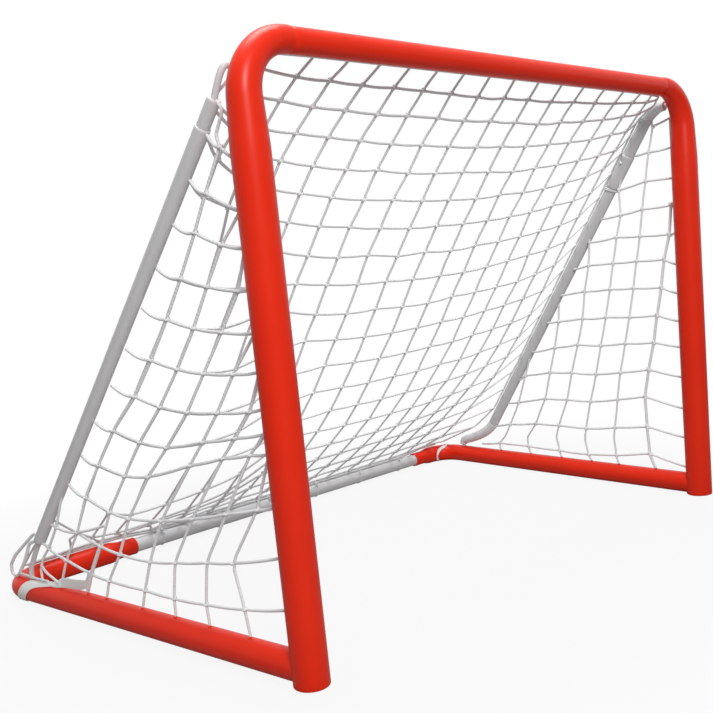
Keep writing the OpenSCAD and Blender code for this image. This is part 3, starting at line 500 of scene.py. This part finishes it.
white_hose = coat("white_hose", (0.80, 0.80, 0.81), (0.73, 0.73, 0.75), 0.45, 0.15, 260)
HOSE_R, HOSE_END_R, HOSE_BORE, hose_rim = 0.0135, 0.0105, 0.0058, 0.0009
STRETCHED_FROM = 12
for end in ("top", "foot"):
    line = hook_route("right", end == "top")[1:-1]
    first_way, last_way = unit(line[1] - line[0]), unit(line[-1] - line[-2])
    first = line[0] + 0.0006 * first_way
    fine = np.vstack([[first, first + hose_rim * first_way], line[1:-1],
                      [line[-1] - hose_rim * last_way, line[-1]]])
    # It is stretched thinner towards its end.
    last = len(fine) - 1
    thin = np.clip((np.arange(last + 1) - STRETCHED_FROM) / (last - STRETCHED_FROM), 0, 1)
    radii = HOSE_R + (HOSE_END_R - HOSE_R) * thin
    radii[[0, -1]] -= hose_rim
    piece(f"right_{end}_hose", [pipe(to_world(fine, 1), radii, HOSE_BORE, 32)],
          white_hose, [f"right_stay_{end}_sleeve"])

# ---- Snap buttons ---------------------------------------------------------------------------
# Each push-fit joint is held by a plated button on a bent leaf spring inside the inner tube. The
# button stands out through a hole in both tubes, and is pressed in to part them.

plated = coat("plated_steel", (0.50, 0.50, 0.52), (0.44, 0.44, 0.46), 0.28, 0.06, 700, metal=1.0)
spring_steel = coat("spring_steel", (0.30, 0.31, 0.33), (0.25, 0.26, 0.28), 0.32, 0.06, 500,
                    metal=1.0)
for name in frame["nodes"]:
    if name.endswith("_button"):
        finish_node(name, plated)
# Each leaf spring is a copy of its carried-over solid, cut finer, in spring steel, in place of the
# original.
for row in frame["joints"]:
    name = row["child"].replace("_button_body", "_spring")
    mesh = frame["nodes"][name].data.copy()
    fine = bmesh.new()
    fine.from_mesh(mesh)
    bmesh.ops.subdivide_edges(fine, edges=fine.edges[:], cuts=2, use_grid_fill=True)
    fine.to_mesh(mesh)
    fine.free()
    mesh.materials.clear()
    mesh.materials.append(spring_steel)
    leaf = bpy.data.objects.new(name + "_leaf", mesh)
    bpy.context.collection.objects.link(leaf)
    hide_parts(name)
    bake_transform(leaf)

# ---- Left side net --------------------------------------------------------------------------
# A triangle of twisted white twine, knotted into square meshes, between post, stay and side bar.
# Its columns hang slack along the stay, and its lowest rows run level along the bar. Its front
# edge is laced to the back of the post.

twine = bpy.data.materials.new("net_twine")
twine.use_nodes = True
nodes, links = twine.node_tree.nodes, twine.node_tree.links
shader = nodes["Principled BSDF"]
shader.inputs["Roughness"].default_value = 0.72
shader.inputs["Specular IOR Level"].default_value = 0.3
shader.inputs["Sheen Weight"].default_value = 0.25
shader.inputs["Sheen Roughness"].default_value = 0.5
run_along = nodes.new("ShaderNodeUVMap")
run_along.uv_map = "along"
stretch = nodes.new("ShaderNodeMapping")
stretch.inputs["Scale"].default_value = (1.0, 95.0, 1.0)
links.new(run_along.outputs["UV"], stretch.inputs["Vector"])
lay = nodes.new("ShaderNodeTexWave")
lay.wave_type = "BANDS"
lay.bands_direction = "DIAGONAL"
lay.inputs["Scale"].default_value = 0.955
lay.inputs["Distortion"].default_value = 0.3
links.new(stretch.outputs[0], lay.inputs["Vector"])
fibre_place = nodes.new("ShaderNodeTexCoord")
fibres = nodes.new("ShaderNodeTexNoise")
fibres.inputs["Scale"].default_value = 900
fibres.inputs["Detail"].default_value = 3
links.new(fibre_place.outputs["Object"], fibres.inputs["Vector"])
both = nodes.new("ShaderNodeMath")
both.operation = "MULTIPLY_ADD"
both.inputs[1].default_value = 0.35
links.new(fibres.outputs["Fac"], both.inputs[0])
links.new(lay.outputs["Fac"], both.inputs[2])
ridges = nodes.new("ShaderNodeBump")
ridges.inputs["Strength"].default_value = 0.5
ridges.inputs["Distance"].default_value = 0.0007
links.new(both.outputs[0], ridges.inputs["Height"])
links.new(ridges.outputs["Normal"], shader.inputs["Normal"])
dust = nodes.new("ShaderNodeTexNoise")
dust.inputs["Scale"].default_value = 6
dust.inputs["Detail"].default_value = 3
links.new(fibre_place.outputs["Object"], dust.inputs["Vector"])
shade = nodes.new("ShaderNodeMix")
shade.data_type = "RGBA"
shade.inputs["A"].default_value = (0.82, 0.83, 0.84, 1)
shade.inputs["B"].default_value = (0.73, 0.74, 0.75, 1)
links.new(dust.outputs["Fac"], shade.inputs["Factor"])
links.new(shade.outputs["Result"], shader.inputs["Base Color"])

TWINE_R = 0.0026
rng = np.random.default_rng(7)


def cord(knots, r=TWINE_R, sag=0.0, loose=0.0, sides=8, per_cell=6):
    """Twine through a line of knots: nearly straight from knot to knot, with a little sag."""
    knots = np.array(knots, float)
    out = [knots[0]]
    for a, b in zip(knots[:-1], knots[1:]):
        sway = rng.normal(0, 1, 3) * loose
        for t in np.linspace(0, 1, per_cell + 1)[1:]:
            out.append(a + (b - a) * t + 4 * t * (1 - t) * (sway - [0, 0, sag]))
    out = np.array(out)
    out[1:-1] = 0.25 * out[:-2] + 0.5 * out[1:-1] + 0.25 * out[2:]
    return swept(out, r, sides)


def knot(at, row_way, col_way, size=TWINE_R):
    """A knot at a crossing: the column's twine wraps once round the row's."""
    out = unit(np.cross(row_way, col_way))
    mid = unit(unit(row_way) + unit(col_way))
    across = np.cross(out, mid)
    a = np.linspace(0, 2 * math.pi, 13)[:, None]
    loop = at + size * (1.7 * across * np.sin(a) + 1.3 * out * np.cos(a)
                        + 0.6 * mid * np.sin(2 * a))
    return swept(loop, size * 0.72, 6, False)


def ring(centre, way, r, cord_r=0.0016, tilt=0.0):
    """A turn of cord round a tube, square to the way the tube runs or a little tilted."""
    way = unit(way)
    a_way = unit(np.cross(way, (0.3, 0.1, 1.0)))
    b_way = np.cross(way, a_way)
    a = np.linspace(0, 2 * math.pi, 25)[:, None]
    loop = centre + r * (a_way * np.cos(a) + b_way * np.sin(a)) + way * tilt * np.sin(a)
    return swept(loop, cord_r, 8, False)


# Each row from the stay forwards to the post: millimetres back from the post, and height.
LEFT_ROWS = [
    [(86, 797), (62, 777), (36, 757)],
    [(137, 742), (106, 720), (36, 686)],
    [(190, 685), (143, 668), (85, 645), (36, 635)],
    [(247, 624), (192, 605), (131, 589), (61, 578), (36, 579)],
    [(301, 566), (241, 545), (176, 529), (111, 521), (36, 517)],
    [(361, 502), (297, 482), (231, 467), (166, 460), (96, 459), (36, 462)],
    [(418, 441), (355, 422), (290, 406), (220, 399), (145, 400), (68, 404), (36, 410)],
    [(480, 375), (430, 362), (359, 345), (286, 339), (190, 353), (109, 363), (36, 373)],
    [(538, 313), (489, 298), (414, 283), (347, 286), (230, 313), (145, 330), (80, 339),
     (36, 343)],
    [(592, 256), (544, 235), (473, 214), (418, 207), (325, 213), (240, 225), (152, 242),
     (78, 256), (36, 264)],
    [(677, 173), (586, 164), (515, 146), (458, 138), (370, 136), (300, 144), (215, 156),
     (150, 164), (36, 188)],
    [(723, 135), (637, 105), (556, 88), (502, 83), (394, 82), (313, 80), (228, 84), (133, 92),
     (36, 108)],
]
LEFT_FEET = [None, (669, 50), (575, 52), (516, 50), (406, 50), (313, 50), (224, 50), (126, 50)]


def net_place(side, q, out=0.0):
    """A point of a side net, bellied in a little between its edges."""
    s, z = q[0] / 1000, q[1] / 1000
    belly = 0.010 * math.sin(math.pi * min(1, s / 0.7)) * math.sin(math.pi * min(1, z / 0.9))
    return side_place(out - belly, s, z) * [side, 1, 1]


def down(way_back=0.0):
    return np.array([0, way_back, -1.0])


parts = []
for j, row in enumerate(LEFT_ROWS):
    line = [net_place(-1, q) for q in row]
    parts.append(cord(line[:2], sag=0.006))
    parts.append(cord(line[1:], sag=0.0015))
    for i in range(1, len(row) - 1):
        parts.append(knot(line[i], line[i + 1] - line[i - 1], down(0.6)))
for i in range(1, 8):
    rows = [row for row in LEFT_ROWS if len(row) > i + 1]
    above = LEFT_ROWS[len(LEFT_ROWS) - len(rows) - 1]
    start = [(60, 842), (47, 823), (67, 794)] if i == 1 else [above[-1]]
    knots = start + [row[i] for row in rows] + [LEFT_FEET[i]]
    parts.append(cord([net_place(-1, q) for q in knots], TWINE_R * 0.92))
# The front edge's lacing cord.
parts.append(cord([net_place(-1, row[-1]) for row in LEFT_ROWS] + [net_place(-1, (36, 52))]))
# The slack corner of the net, gathered round the stay's foot and tied down to the bar. The cords
# in THICK are doubled.
THICK, THICK_R = (0, 3, 4), 0.0034
CORNER_CORDS = [
    [(575, 54), (556, 88), (515, 146)],
    [(617, 234), (651, 171), (689, 124), (717, 100), (734, 72), (734, 50)],
    [(489, 188), (537, 175), (586, 164)],
    [(714, 146), (734, 148), (777, 122), (826, 91), (848, 70), (850, 52), (837, 46)],
    [(724, 136), (760, 124), (780, 96), (793, 80), (817, 56), (830, 47)],
    [(822, 54), (748, 52), (710, 53)],
    [(727, 84), (712, 71), (672, 56)],
]
for k, line in enumerate(CORNER_CORDS):
    parts.append(cord([net_place(-1, q, 0.002 + 0.002 * (k > 2)) for q in line],
                      THICK_R if k in THICK else TWINE_R * 0.95))
for q in ((651, 171), (689, 124)):
    parts.append(knot(net_place(-1, q, 0.002), np.array([0, 1, 0.4]), down(0.3)))
piece("left_side_meshes", parts, twine, ["left_side_net"])

# ---- Back net -------------------------------------------------------------------------------
# One wide net of the same twine. It hangs slack from the crossbar's clips, with its meshes
# crowded towards the top, and it is laced to both stays and to the rope on the rear bar.

COLUMNS, ROWS = 17, 19
HEM_Y, HEM_Z, FOOT_Z = 0.02356, 0.9010, 0.0596
# How steeply the cloth falls at its edges and in its middle, and how far in the edges reach.
EDGE_FALL, MIDDLE_FALL, EDGE_SPREAD, EDGE_REACH = 1.64, 1.19, 0.56, 0.14
# The knots slip less and less over this last part of the way down to the rope.
FOOT_FADE = 0.21
# How far the knots have slipped along and down the cloth from their even places.
SLIP_ALONG = np.array([[0.0085, -0.0023, -0.0245, -0.0102], [0.0254, -0.0072, -0.0024, 0.0253],
                       [-0.0365, 0.0177, -0.1688, -0.2780]])
SLIP_DOWN = np.array([[0.0043, -0.0043, 0.0071], [0.0080, 0.0303, 0.0094],
                      [-0.0033, -0.0038, 0.0109], [0.0358, 0.0220, -0.1408]])


def slack_point(u, v):
    """The hanging net's surface: u across from the left stay, v down from the crossbar."""
    arch = max(0.0, 4 * u * (1 - u))
    mix = arch ** EDGE_SPREAD
    w = v ** EDGE_FALL + (v ** MIDDLE_FALL - v ** EDGE_FALL) * mix
    bulge = arch ** 0.3 * (0.023 * math.sin(2 * math.pi * w) - 0.048 * math.sin(math.pi * w))
    bulge *= math.sqrt(0.5)
    drift = -(0.010 * math.sin(2 * math.pi * u) + 0.027 * math.sin(math.pi * u))
    half = (1 - w) * MOUTH + w * REAR_HALF
    foot = 0.0185
    return np.array([(2 * u - 1) * half + drift * math.sin(math.pi * v),
                     FRONT_Y + (1 - w) * HEM_Y + w * DEPTH + bulge,
                     (1 - w) * HEM_Z + w * foot + (FOOT_Z - foot) * w ** 8 + bulge])


def stay_edge(which, z):
    """Where the net's edge lies at height z: on the inner upper side of the stay."""
    d = stay[which]
    bend_mid = side_place(-CORNER_R * (1 - math.cos(corner_turn / 2)),
                          bend_s + CORNER_R * math.sin(corner_turn / 2), 0)
    heights, places = [FOOT_Z], [bend_mid]
    gap = d["r"] + 0.004
    for h in (0.0, d["length"]):
        q = on_stay(which, h, -gap * 0.6, -gap * 0.8) * [d["side"], 1, 1]
        heights.append(q[2])
        places.append(q)
    heights += [hook_z + 0.004, HEM_Z]
    places += [(hook_x - 0.020, FRONT_Y + POST_R + 0.014),
               (hook_x - 0.022, FRONT_Y + POST_R + 0.004)]
    return np.array([d["side"] * np.interp(z, heights, [q[0] for q in places]),
                     np.interp(z, heights, [q[1] for q in places]), z])


def back_point(u, v):
    e = slack_point(0.0 if u < 0.5 else 1.0, v)
    pull = max(0.0, 1 - min(u, 1 - u) / EDGE_REACH) ** 2
    return slack_point(u, v) + pull * (stay_edge("left" if u < 0.5 else "right", e[2]) - e)


def slipped(i, j):
    """The (u, v) place of a knot of the right and middle of the net."""
    u, v = i / COLUMNS, j / ROWS
    s, t = 2 * u - 1, 2 * v - 1
    settle = np.clip((1 - v) / FOOT_FADE, 0, 1)
    du = math.sin(math.pi * u) * np.polynomial.polynomial.polyval2d(s, t, SLIP_ALONG)
    dv = math.sin(math.pi * v) * np.polynomial.polynomial.polyval2d(s, t, SLIP_DOWN)
    return np.array([u + settle * du, v + settle * dv])


def sight(p):
    """The direction in which the camera sees a point."""
    q = p - eye
    return np.array([np.dot(q, right), np.dot(q, up)]) / -np.dot(q, back)


coarse = [((u, v), sight(back_point(u, v)))
          for u in np.linspace(0, 0.5, 26) for v in np.linspace(0.1, 1, 37)]


def behind(p):
    """The (u, v) place of the back net that the camera sees right behind a side net's point."""
    aim = sight(p)
    u, v = min(coarse, key=lambda c: np.sum((c[1] - aim) ** 2))[0]
    e = 1e-4
    for _ in range(8):
        here = sight(back_point(u, v))
        slope = np.c_[sight(back_point(u + e, v)) - here, sight(back_point(u, v + e)) - here] / e
        step = np.clip(np.linalg.lstsq(slope, aim - here, rcond=None)[0], -0.03, 0.03)
        u, v = np.clip([u + step[0], v + step[1]], [0.001, 0.0], [1.0, 1.0])
    return np.array([u, v])


# The heights at which the rows are laced to the left stay.
LEFT_LACED = [0.0, 0.074, 0.137, 0.185, 0.200, 0.290, 0.354, 0.423, 0.487, 0.554, 0.619, 0.674,
              0.738, 0.792, 0.843, 0.890, 0.918, 0.945, 0.973, 1.0]
# From FIRST_ROW on the rows begin at the left side net's, and from GATHERED on in the corner.
FIRST_ROW, GATHERED = 5, 15
# How many knots of each row, counted from the stay, are seen right behind the side net's.
PAIRED = [1, 1, 2, 3, 3, 4, 5, 5, 6, 3]
place = {(i, j): slipped(i, j) for i in range(COLUMNS + 1) for j in range(ROWS + 1)}
for j in range(ROWS + 1):
    place[0, j] = np.array([0.0, LEFT_LACED[j]])
# The first column crowds towards the stay's top.
for j, u in enumerate((0.026, 0.031, 0.040, 0.049)):
    place[1, j][0] = u
place[1, 4] = np.array([0.058, 0.203])
for j, row, count in zip(range(FIRST_ROW, ROWS), LEFT_ROWS, PAIRED):
    for i in range(1, count + 1):
        place[i, j] = behind(net_place(-1, row[i]))
for i, q in ((4, (0.214, 0.882)), (5, (0.278, 0.853)), (6, (0.342, 0.822))):
    place[i, GATHERED - 1] = np.array(q)
# The lowest rows gather into the left corner.
FOOT_U = [0.0, 0.10, 0.15, 0.19, 0.245, 0.30, 0.36]
GATHERED_V = [0.890, 0.914, 0.955, 0.968, 0.950, 0.920, 0.885]
for i, (foot_u, v) in enumerate(zip(FOOT_U, GATHERED_V)):
    u = place[i, GATHERED - 1][0]
    for j in range(GATHERED, ROWS + 1):
        place[i, j] = np.array([u + (foot_u - u) * (j - GATHERED + 1) / (ROWS - GATHERED + 1),
                                v + (1 - v) * (j - GATHERED) / (ROWS - GATHERED)])
place[1, GATHERED] = behind(net_place(-1, LEFT_ROWS[GATHERED - FIRST_ROW][1]))
# The cloth evens out where the two groups of knots meet, behind the post.
for _ in range(2):
    evened = {}
    for j, count in enumerate(PAIRED, FIRST_ROW):
        for i in (count, count + 1):
            beside = (place[i - 1, j] + place[i + 1, j] + place[i, j - 1] + place[i, j + 1]) / 4
            evened[i, j] = 0.68 * place[i, j] + 0.32 * beside
    place.update(evened)

ROPE_R, ROPE_Z_LEG, ROPE_Z_BAR = 0.0035, 0.0523, 0.0433
ROPE_LINE = [(-0.645, ROPE_Z_LEG), (-0.431, ROPE_Z_LEG), (-0.345, ROPE_Z_BAR),
             (0.495, ROPE_Z_BAR), (0.581, ROPE_Z_LEG), (0.645, ROPE_Z_LEG)]


def rope_z(x):
    return np.interp(x, [q[0] for q in ROPE_LINE], [q[1] for q in ROPE_LINE])


grid = {}
for (i, j), (u, v) in place.items():
    p = back_point(u, v)
    if 0 < i < COLUMNS and 0 < j < ROWS:
        jitter = rng.normal(0, 0.0014, 2)
        p = p + jitter[0] * unit(back_point(u + 0.01, v) - p)
        if j < GATHERED - 1:
            p[2] += jitter[1]
    drop = FOOT_Z - rope_z(p[0]) - ROPE_R - TWINE_R
    grid[i, j] = p - [0, 0, drop * v ** 10]


def row_start(j):
    """The column at which a row starts. The lowest rows stop short of the left corner."""
    return j - 12 if GATHERED < j < ROWS else 0


parts = []
for j in range(1, ROWS + 1):
    first = row_start(j)
    if first:
        # It is tied down to the rope.
        parts.append(cord([grid[first - 1, ROWS], grid[first, j]]))
    elif FIRST_ROW <= j < FIRST_ROW + len(PAIRED):
        # It starts at the stay end of the side net's row.
        tie = net_place(-1, LEFT_ROWS[j - FIRST_ROW][0])
        parts.append(cord([tie, grid[1, j]], sag=0.006))
        first = 1
    parts.append(cord([grid[i, j] for i in range(first, COLUMNS + 1)],
                      sag=0.0014 if j < GATHERED else 0.0, loose=0.0005))
for i in range(COLUMNS + 1):
    parts.append(cord([grid[i, j] for j in range(ROWS + 1)], TWINE_R * 0.92, loose=0.0005))
for i in range(1, COLUMNS):
    for j in range(1, ROWS):
        if i >= row_start(j):
            parts.append(knot(grid[i, j], grid[i + 1, j] - grid[i - 1, j],
                              grid[i, j + 1] - grid[i, j - 1]))
# The head rope that the columns hang from.
parts.append(swept([grid[i, 0] for i in range(COLUMNS + 1)], TWINE_R, 10))
piece("back_net_meshes", parts, twine, ["back_net"])

# ---- Right side net -------------------------------------------------------------------------
# The same triangle on the right, hung more evenly. Its front edge is a heavier cord that stands
# off the post, with a short tie at each row. The rows end on the stay.

# Each row from the post back to the stay: the column of its first knot, then its points in
# millimetres back from the post and up.
RIGHT_ROWS = [
    (1, [(31, 857), (75, 847), (86, 866)]),
    (1, [(31, 793), (89, 792), (126, 789)]),
    (1, [(31, 726), (100, 729), (173, 718), (184, 716)]),
    (0, [(31, 668), (38, 667), (112, 667), (171, 660), (226, 656)]),
    (0, [(31, 604), (45, 603), (122, 606), (186, 610), (268, 604)]),
    (0, [(31, 534), (61, 548), (134, 549), (199, 549), (271, 549), (317, 542)]),
    (0, [(31, 468), (72, 484), (146, 486), (212, 487), (288, 485), (362, 478)]),
    (0, [(31, 404), (87, 420), (162, 417), (229, 419), (299, 418), (377, 412), (413, 409)]),
    (0, [(31, 344), (99, 356), (178, 354), (249, 349), (320, 352), (396, 344), (474, 331)]),
    (0, [(31, 274), (117, 291), (197, 282), (270, 276), (346, 279), (419, 278), (508, 267),
         (532, 253)]),
    (0, [(31, 200), (132, 225), (211, 214), (294, 205), (368, 207), (443, 206), (541, 191),
         (584, 186)]),
    (0, [(31, 131), (131, 151), (225, 142), (315, 133), (404, 135), (484, 135), (581, 126),
         (640, 116)]),
    (0, [(31, 60), (129, 84), (227, 70), (314, 64), (410, 66), (520, 68), (630, 67), (700, 59)]),
]
RIGHT_HEADS = {0: (33, 672), 1: (84, 869), 2: (165, 744), 3: (264, 612), 4: (372, 455),
               5: (488, 312)}
RIGHT_BULGE = {1: (230, 109), 2: (321, 101), 3: (417, 101), 4: (521, 93), 5: (600, 96),
               0: (130, 118)}
RIGHT_FEET = {0: (115, 49), 1: (222, 49), 2: (306, 49), 3: (405, 49), 4: (514, 49), 5: (627, 49)}
EDGE_CORD_R = 0.0033
BEFORE_LAST = len(RIGHT_ROWS) - 2
parts = []
columns = {i: [head] for i, head in RIGHT_HEADS.items()}
for j, (first, row) in enumerate(RIGHT_ROWS):
    line = [net_place(1, q) for q in row]
    parts.append(cord(line, sag=0.0015, loose=0.0005))
    for k in range(1, len(row) - 1):
        i = first + k - 1
        columns[i].append(row[k])
        parts.append(knot(line[k], line[k + 1] - line[k - 1], down(0.25),
                          TWINE_R * (1.25 if i == 0 else 1.0)))
    if j == BEFORE_LAST:
        for i in columns:
            columns[i].append(RIGHT_BULGE[i])
for i, line in columns.items():
    parts.append(cord([net_place(1, q) for q in line + [RIGHT_FEET[i]]],
                      EDGE_CORD_R if i == 0 else TWINE_R * 0.92, loose=0.0004))
# The lacing cord down the back of the post.
parts.append(cord([net_place(1, (31, row[0][1])) for first, row in RIGHT_ROWS], TWINE_R * 0.8))
piece("right_side_meshes", parts, twine, ["right_side_net"])

# The back net's edge is lashed to the right stay under its top sleeve and under its joint sleeve.
right_run = on_stay("right", 1) - on_stay("right", 0)
parts = []
for h, tilt in ((stay["right"]["length"] - 0.006, 0.006), (stay["right"]["length"] - 0.010, 0.007),
                (joint - COUPLING_LEN - 0.005, 0.002), (joint - COUPLING_LEN - 0.009, 0.004)):
    parts.append(ring(on_stay("right", h), right_run, stay["right"]["r"] + 0.0014, 0.0015, tilt))
piece("right_stay_lacing", parts, twine)

# ---- Net clips ------------------------------------------------------------------------------
# Small red moulded studs on the backs of the tubes. The head rope hooks over the crossbar's, and
# the side nets are tied to those on the posts and side bars, which are low.

finish_node("crossbar_net_clips", red_plastic)
STUD_R, LEFT_STUD, RIGHT_STUD, BAR_STUD = 0.0030, 0.0042, 0.0012, 0.0014


def stud(foot, way, high):
    """A low round stud that stands on a tube, with a rounded head."""
    h = np.array([-0.002, 0.0, high * 0.7, high * 0.9, high])
    radii = STUD_R * np.array([1, 1, 1, 0.86, 0.5])
    return swept(foot + h[:, None] * way, radii, 16)


for side, name, high, rows in (
        (-1, "left", LEFT_STUD, [row[-1][1] for row in LEFT_ROWS[:-1]]),
        (1, "right", RIGHT_STUD, [row[0][1] for first, row in RIGHT_ROWS[1:-1]])):
    parts = [stud(side_place(0, POST_R, z / 1000) * [side, 1, 1], backwards * [side, 1, 1], high)
             for z in rows]
    piece(name + "_post_studs", parts, red_plastic, [name + "_post_net_clips"])
for side, name, feet in ((-1, "left", LEFT_FEET[1:]), (1, "right", RIGHT_FEET.values())):
    parts = [stud(side_place(0, q[0] / 1000, 2 * BASE_R) * [side, 1, 1], np.array([0, 0, 1.0]),
                  BAR_STUD) for q in feet]
    piece(name + "_bar_studs", parts, red_plastic, [name + "_base_net_clips"])

# ---- Border rope and its ties ---------------------------------------------------------------
# A laid rope runs along the rear bar and the legs under the net's foot. Thin cords tie it down.

rope_x = np.linspace(ROPE_LINE[0][0], ROPE_LINE[-1][0], 120)
piece("border_rope_line", [swept(np.c_[rope_x, np.full(120, REAR_Y), rope_z(rope_x)], ROPE_R, 12)],
      twine, ["border_rope"])
TIE_R, TIE_REACH, TIE_OVER_ROPE = 0.0009, 0.0171, 0.0076
parts = []
for x in np.linspace(-0.325, 0.475, 6):
    loop = []
    for a in np.linspace(0, 2 * math.pi, 33):
        y, z = math.cos(a), math.sin(a)
        loop.append((x + 0.0015 * math.sin(a + x), REAR_Y + TIE_REACH * y,
                     BASE_Z + TIE_REACH * z + (TIE_OVER_ROPE * z if z > 0 else 0.0)))
    parts.append(swept(loop, TIE_R, 8, False))
    # Its knot and two short tails, in front of the rope.
    at = np.array([x, REAR_Y - 0.0095, BASE_Z + 0.0195])
    parts.append(knot(at, np.array([1, 0, 0]), np.array([0, 0, 1.0]), 0.0018))
    for way in (-1, 1):
        tail = curve(at, at + [0.004 * way, -0.003, 0.001], at + [0.009 * way, -0.004, -0.003], 6)
        parts.append(swept(tail, TIE_R * 0.9, 8))
piece("rope_ties", parts, twine, ["border_rope_ties"])

# ---- Corner straps --------------------------------------------------------------------------
# Flat off-white webbing is wound round the left side bar near its rear corner, with its tail laid
# forwards along the bar to a fold. A narrow band goes round the right leg's bend.

webbing = coat("webbing", (0.80, 0.81, 0.79), (0.72, 0.73, 0.71), 0.7, 0.5, 900, gloss=0.3)


def bar_frame(run):
    """The right base bar's axis at a length along it: the point, and the way to its outer side."""
    a = min(max(0.0, run - bend_s) / CORNER_R, corner_turn)
    out = math.cos(a) * outwards + math.sin(a) * backwards
    if run < bend_s:
        return side_place(0, run, BASE_Z), out
    past = max(0.0, run - bend_s - CORNER_R * corner_turn)
    way = math.cos(a) * backwards - math.sin(a) * outwards
    return side_place(-CORNER_R, bend_s, BASE_Z) + CORNER_R * out + past * way, out


# The webbing's section: places across it, and heights over its middle, in its width and thickness.
SECTION = [(-0.5, 0.25), (-0.47, 0.5), (-0.2, 0.5), (0.2, 0.5), (0.47, 0.5), (0.5, 0.25),
           (0.5, -0.25), (0.47, -0.5), (0.2, -0.5), (-0.2, -0.5), (-0.47, -0.5), (-0.5, -0.25)]
WEBBING_THICK = 0.0013
# Under a bar the webbing comes no further round than the ground leaves room for.
WRAP_LIMITS = (math.radians(-66), math.radians(246))


def band(verts):
    """Closes flat webbing over its sections, given one after another."""
    m = len(SECTION)
    n = len(verts) // m
    faces = [(i * m + k, i * m + (k + 1) % m, (i + 1) * m + (k + 1) % m, (i + 1) * m + k)
             for i in range(n - 1) for k in range(m)]
    faces += [tuple(reversed(range(m))), tuple(range((n - 1) * m, n * m))]
    middle = np.array(verts)[2::m]
    run = np.concatenate([[0], np.cumsum(np.linalg.norm(np.diff(middle, axis=0), axis=1))])
    uv = [q for i in range(n - 1) for k in range(m)
          for q in ((k / m, run[i]), ((k + 1) / m, run[i]), ((k + 1) / m, run[i + 1]),
                    (k / m, run[i + 1]))] + [(0, 0)] * m * 2
    return np.array(verts), faces, uv


def wound(side, stations, width, proud=0.0012, steps=60):
    """Webbing wound on a base bar. Each station is a length along the bar, in millimetres, and an
    angle up from its outer side, in degrees."""
    stations = np.array(stations, float)
    k = np.linspace(0, len(stations) - 1, steps)
    line = np.c_[np.interp(k, range(len(stations)), stations[:, 0]) / 1000,
                 np.radians(np.interp(k, range(len(stations)), stations[:, 1])) * BASE_R]
    for _ in range(6):
        line[1:-1] = 0.25 * line[:-2] + 0.5 * line[1:-1] + 0.25 * line[2:]
    verts = []
    for (run, arc), way, wide in zip(line, np.gradient(line, axis=0),
                                     np.broadcast_to(width, (steps,))):
        way = unit(way) * wide * side
        for across, lift in SECTION:
            centre, out = bar_frame(run - way[1] * across)
            turn = np.clip((arc + way[0] * across) / BASE_R, *WRAP_LIMITS)
            normal = math.cos(turn) * out + math.sin(turn) * np.array([0, 0, 1.0])
            verts.append((centre + (BASE_R + proud + lift * WEBBING_THICK) * normal)
                         * [side, 1, 1])
    return band(verts)


strap = wound(-1, [(801, -62), (796, -44), (783, -2), (774, 26), (762, 50), (745, 66), (719, 78),
                   (694, 92), (670, 104)],
              np.interp(range(60), [0, 8, 26, 40, 59], [0.018, 0.024, 0.027, 0.021, 0.018]))
# The tail leaves the bar's top, turns on edge and runs forwards to a column of the net, where it
# is folded up. Each point is out from the bar, back from the post and up, in millimetres, with the
# angle that the webbing faces.
tail_line = [(0.5, 706, 47.9, 90), (0.5, 690, 49.5, 70), (1.5, 672, 54.5, 35),
             (2.0, 650, 58.5, 12), (2.0, 617, 60.0, 4), (1.5, 592, 63.0, 2), (1.0, 577, 66.0, 2),
             (0.5, 571, 72.0, 2), (0.5, 566, 80.0, 2), (0.5, 560, 92.0, 2)]
k = np.linspace(0, len(tail_line) - 1, 46)
tail_run = [np.interp(k, range(len(tail_line)), [q[m] for q in tail_line]) for m in range(4)]
for c in tail_run:
    for _ in range(3):
        c[1:-1] = 0.25 * c[:-2] + 0.5 * c[1:-1] + 0.25 * c[2:]
points = np.array([side_place(x / 1000, s / 1000, z / 1000) * [-1, 1, 1]
                   for x, s, z in zip(*tail_run[:3])])
normals = np.array([(math.cos(a) * outwards + math.sin(a) * np.array([0, 0, 1.0])) * [-1, 1, 1]
                    for a in np.radians(tail_run[3])])
ways = [unit(np.cross(n, t)) for n, t in zip(normals, np.gradient(points, axis=0))]
widths = np.interp(k, [0, 2, 5, 7, 9], [0.017, 0.019, 0.019, 0.012, 0.008])
tail = band([p + w * across * wide + n * lift * WEBBING_THICK
             for p, n, w, wide in zip(points, normals, ways, widths) for across, lift in SECTION])
strap_back = wound(-1, [(803, 242), (795, 220), (772, 190), (745, 160), (720, 130), (700, 108)],
                   0.0170, 0.0006, 40)
piece("left_corner_webbing", [strap, tail, strap_back], webbing, ["left_corner_strap"])
leg_band = wound(1, [(878, 244), (880, 235), (892, 205), (893, 180), (882, 155), (862, 134),
                 (846, 118), (842, 90), (852, 50), (868, 10), (876, -36), (877, -62)], 0.0095)
piece("right_leg_band", [leg_band], webbing, ["right_corner_band"])
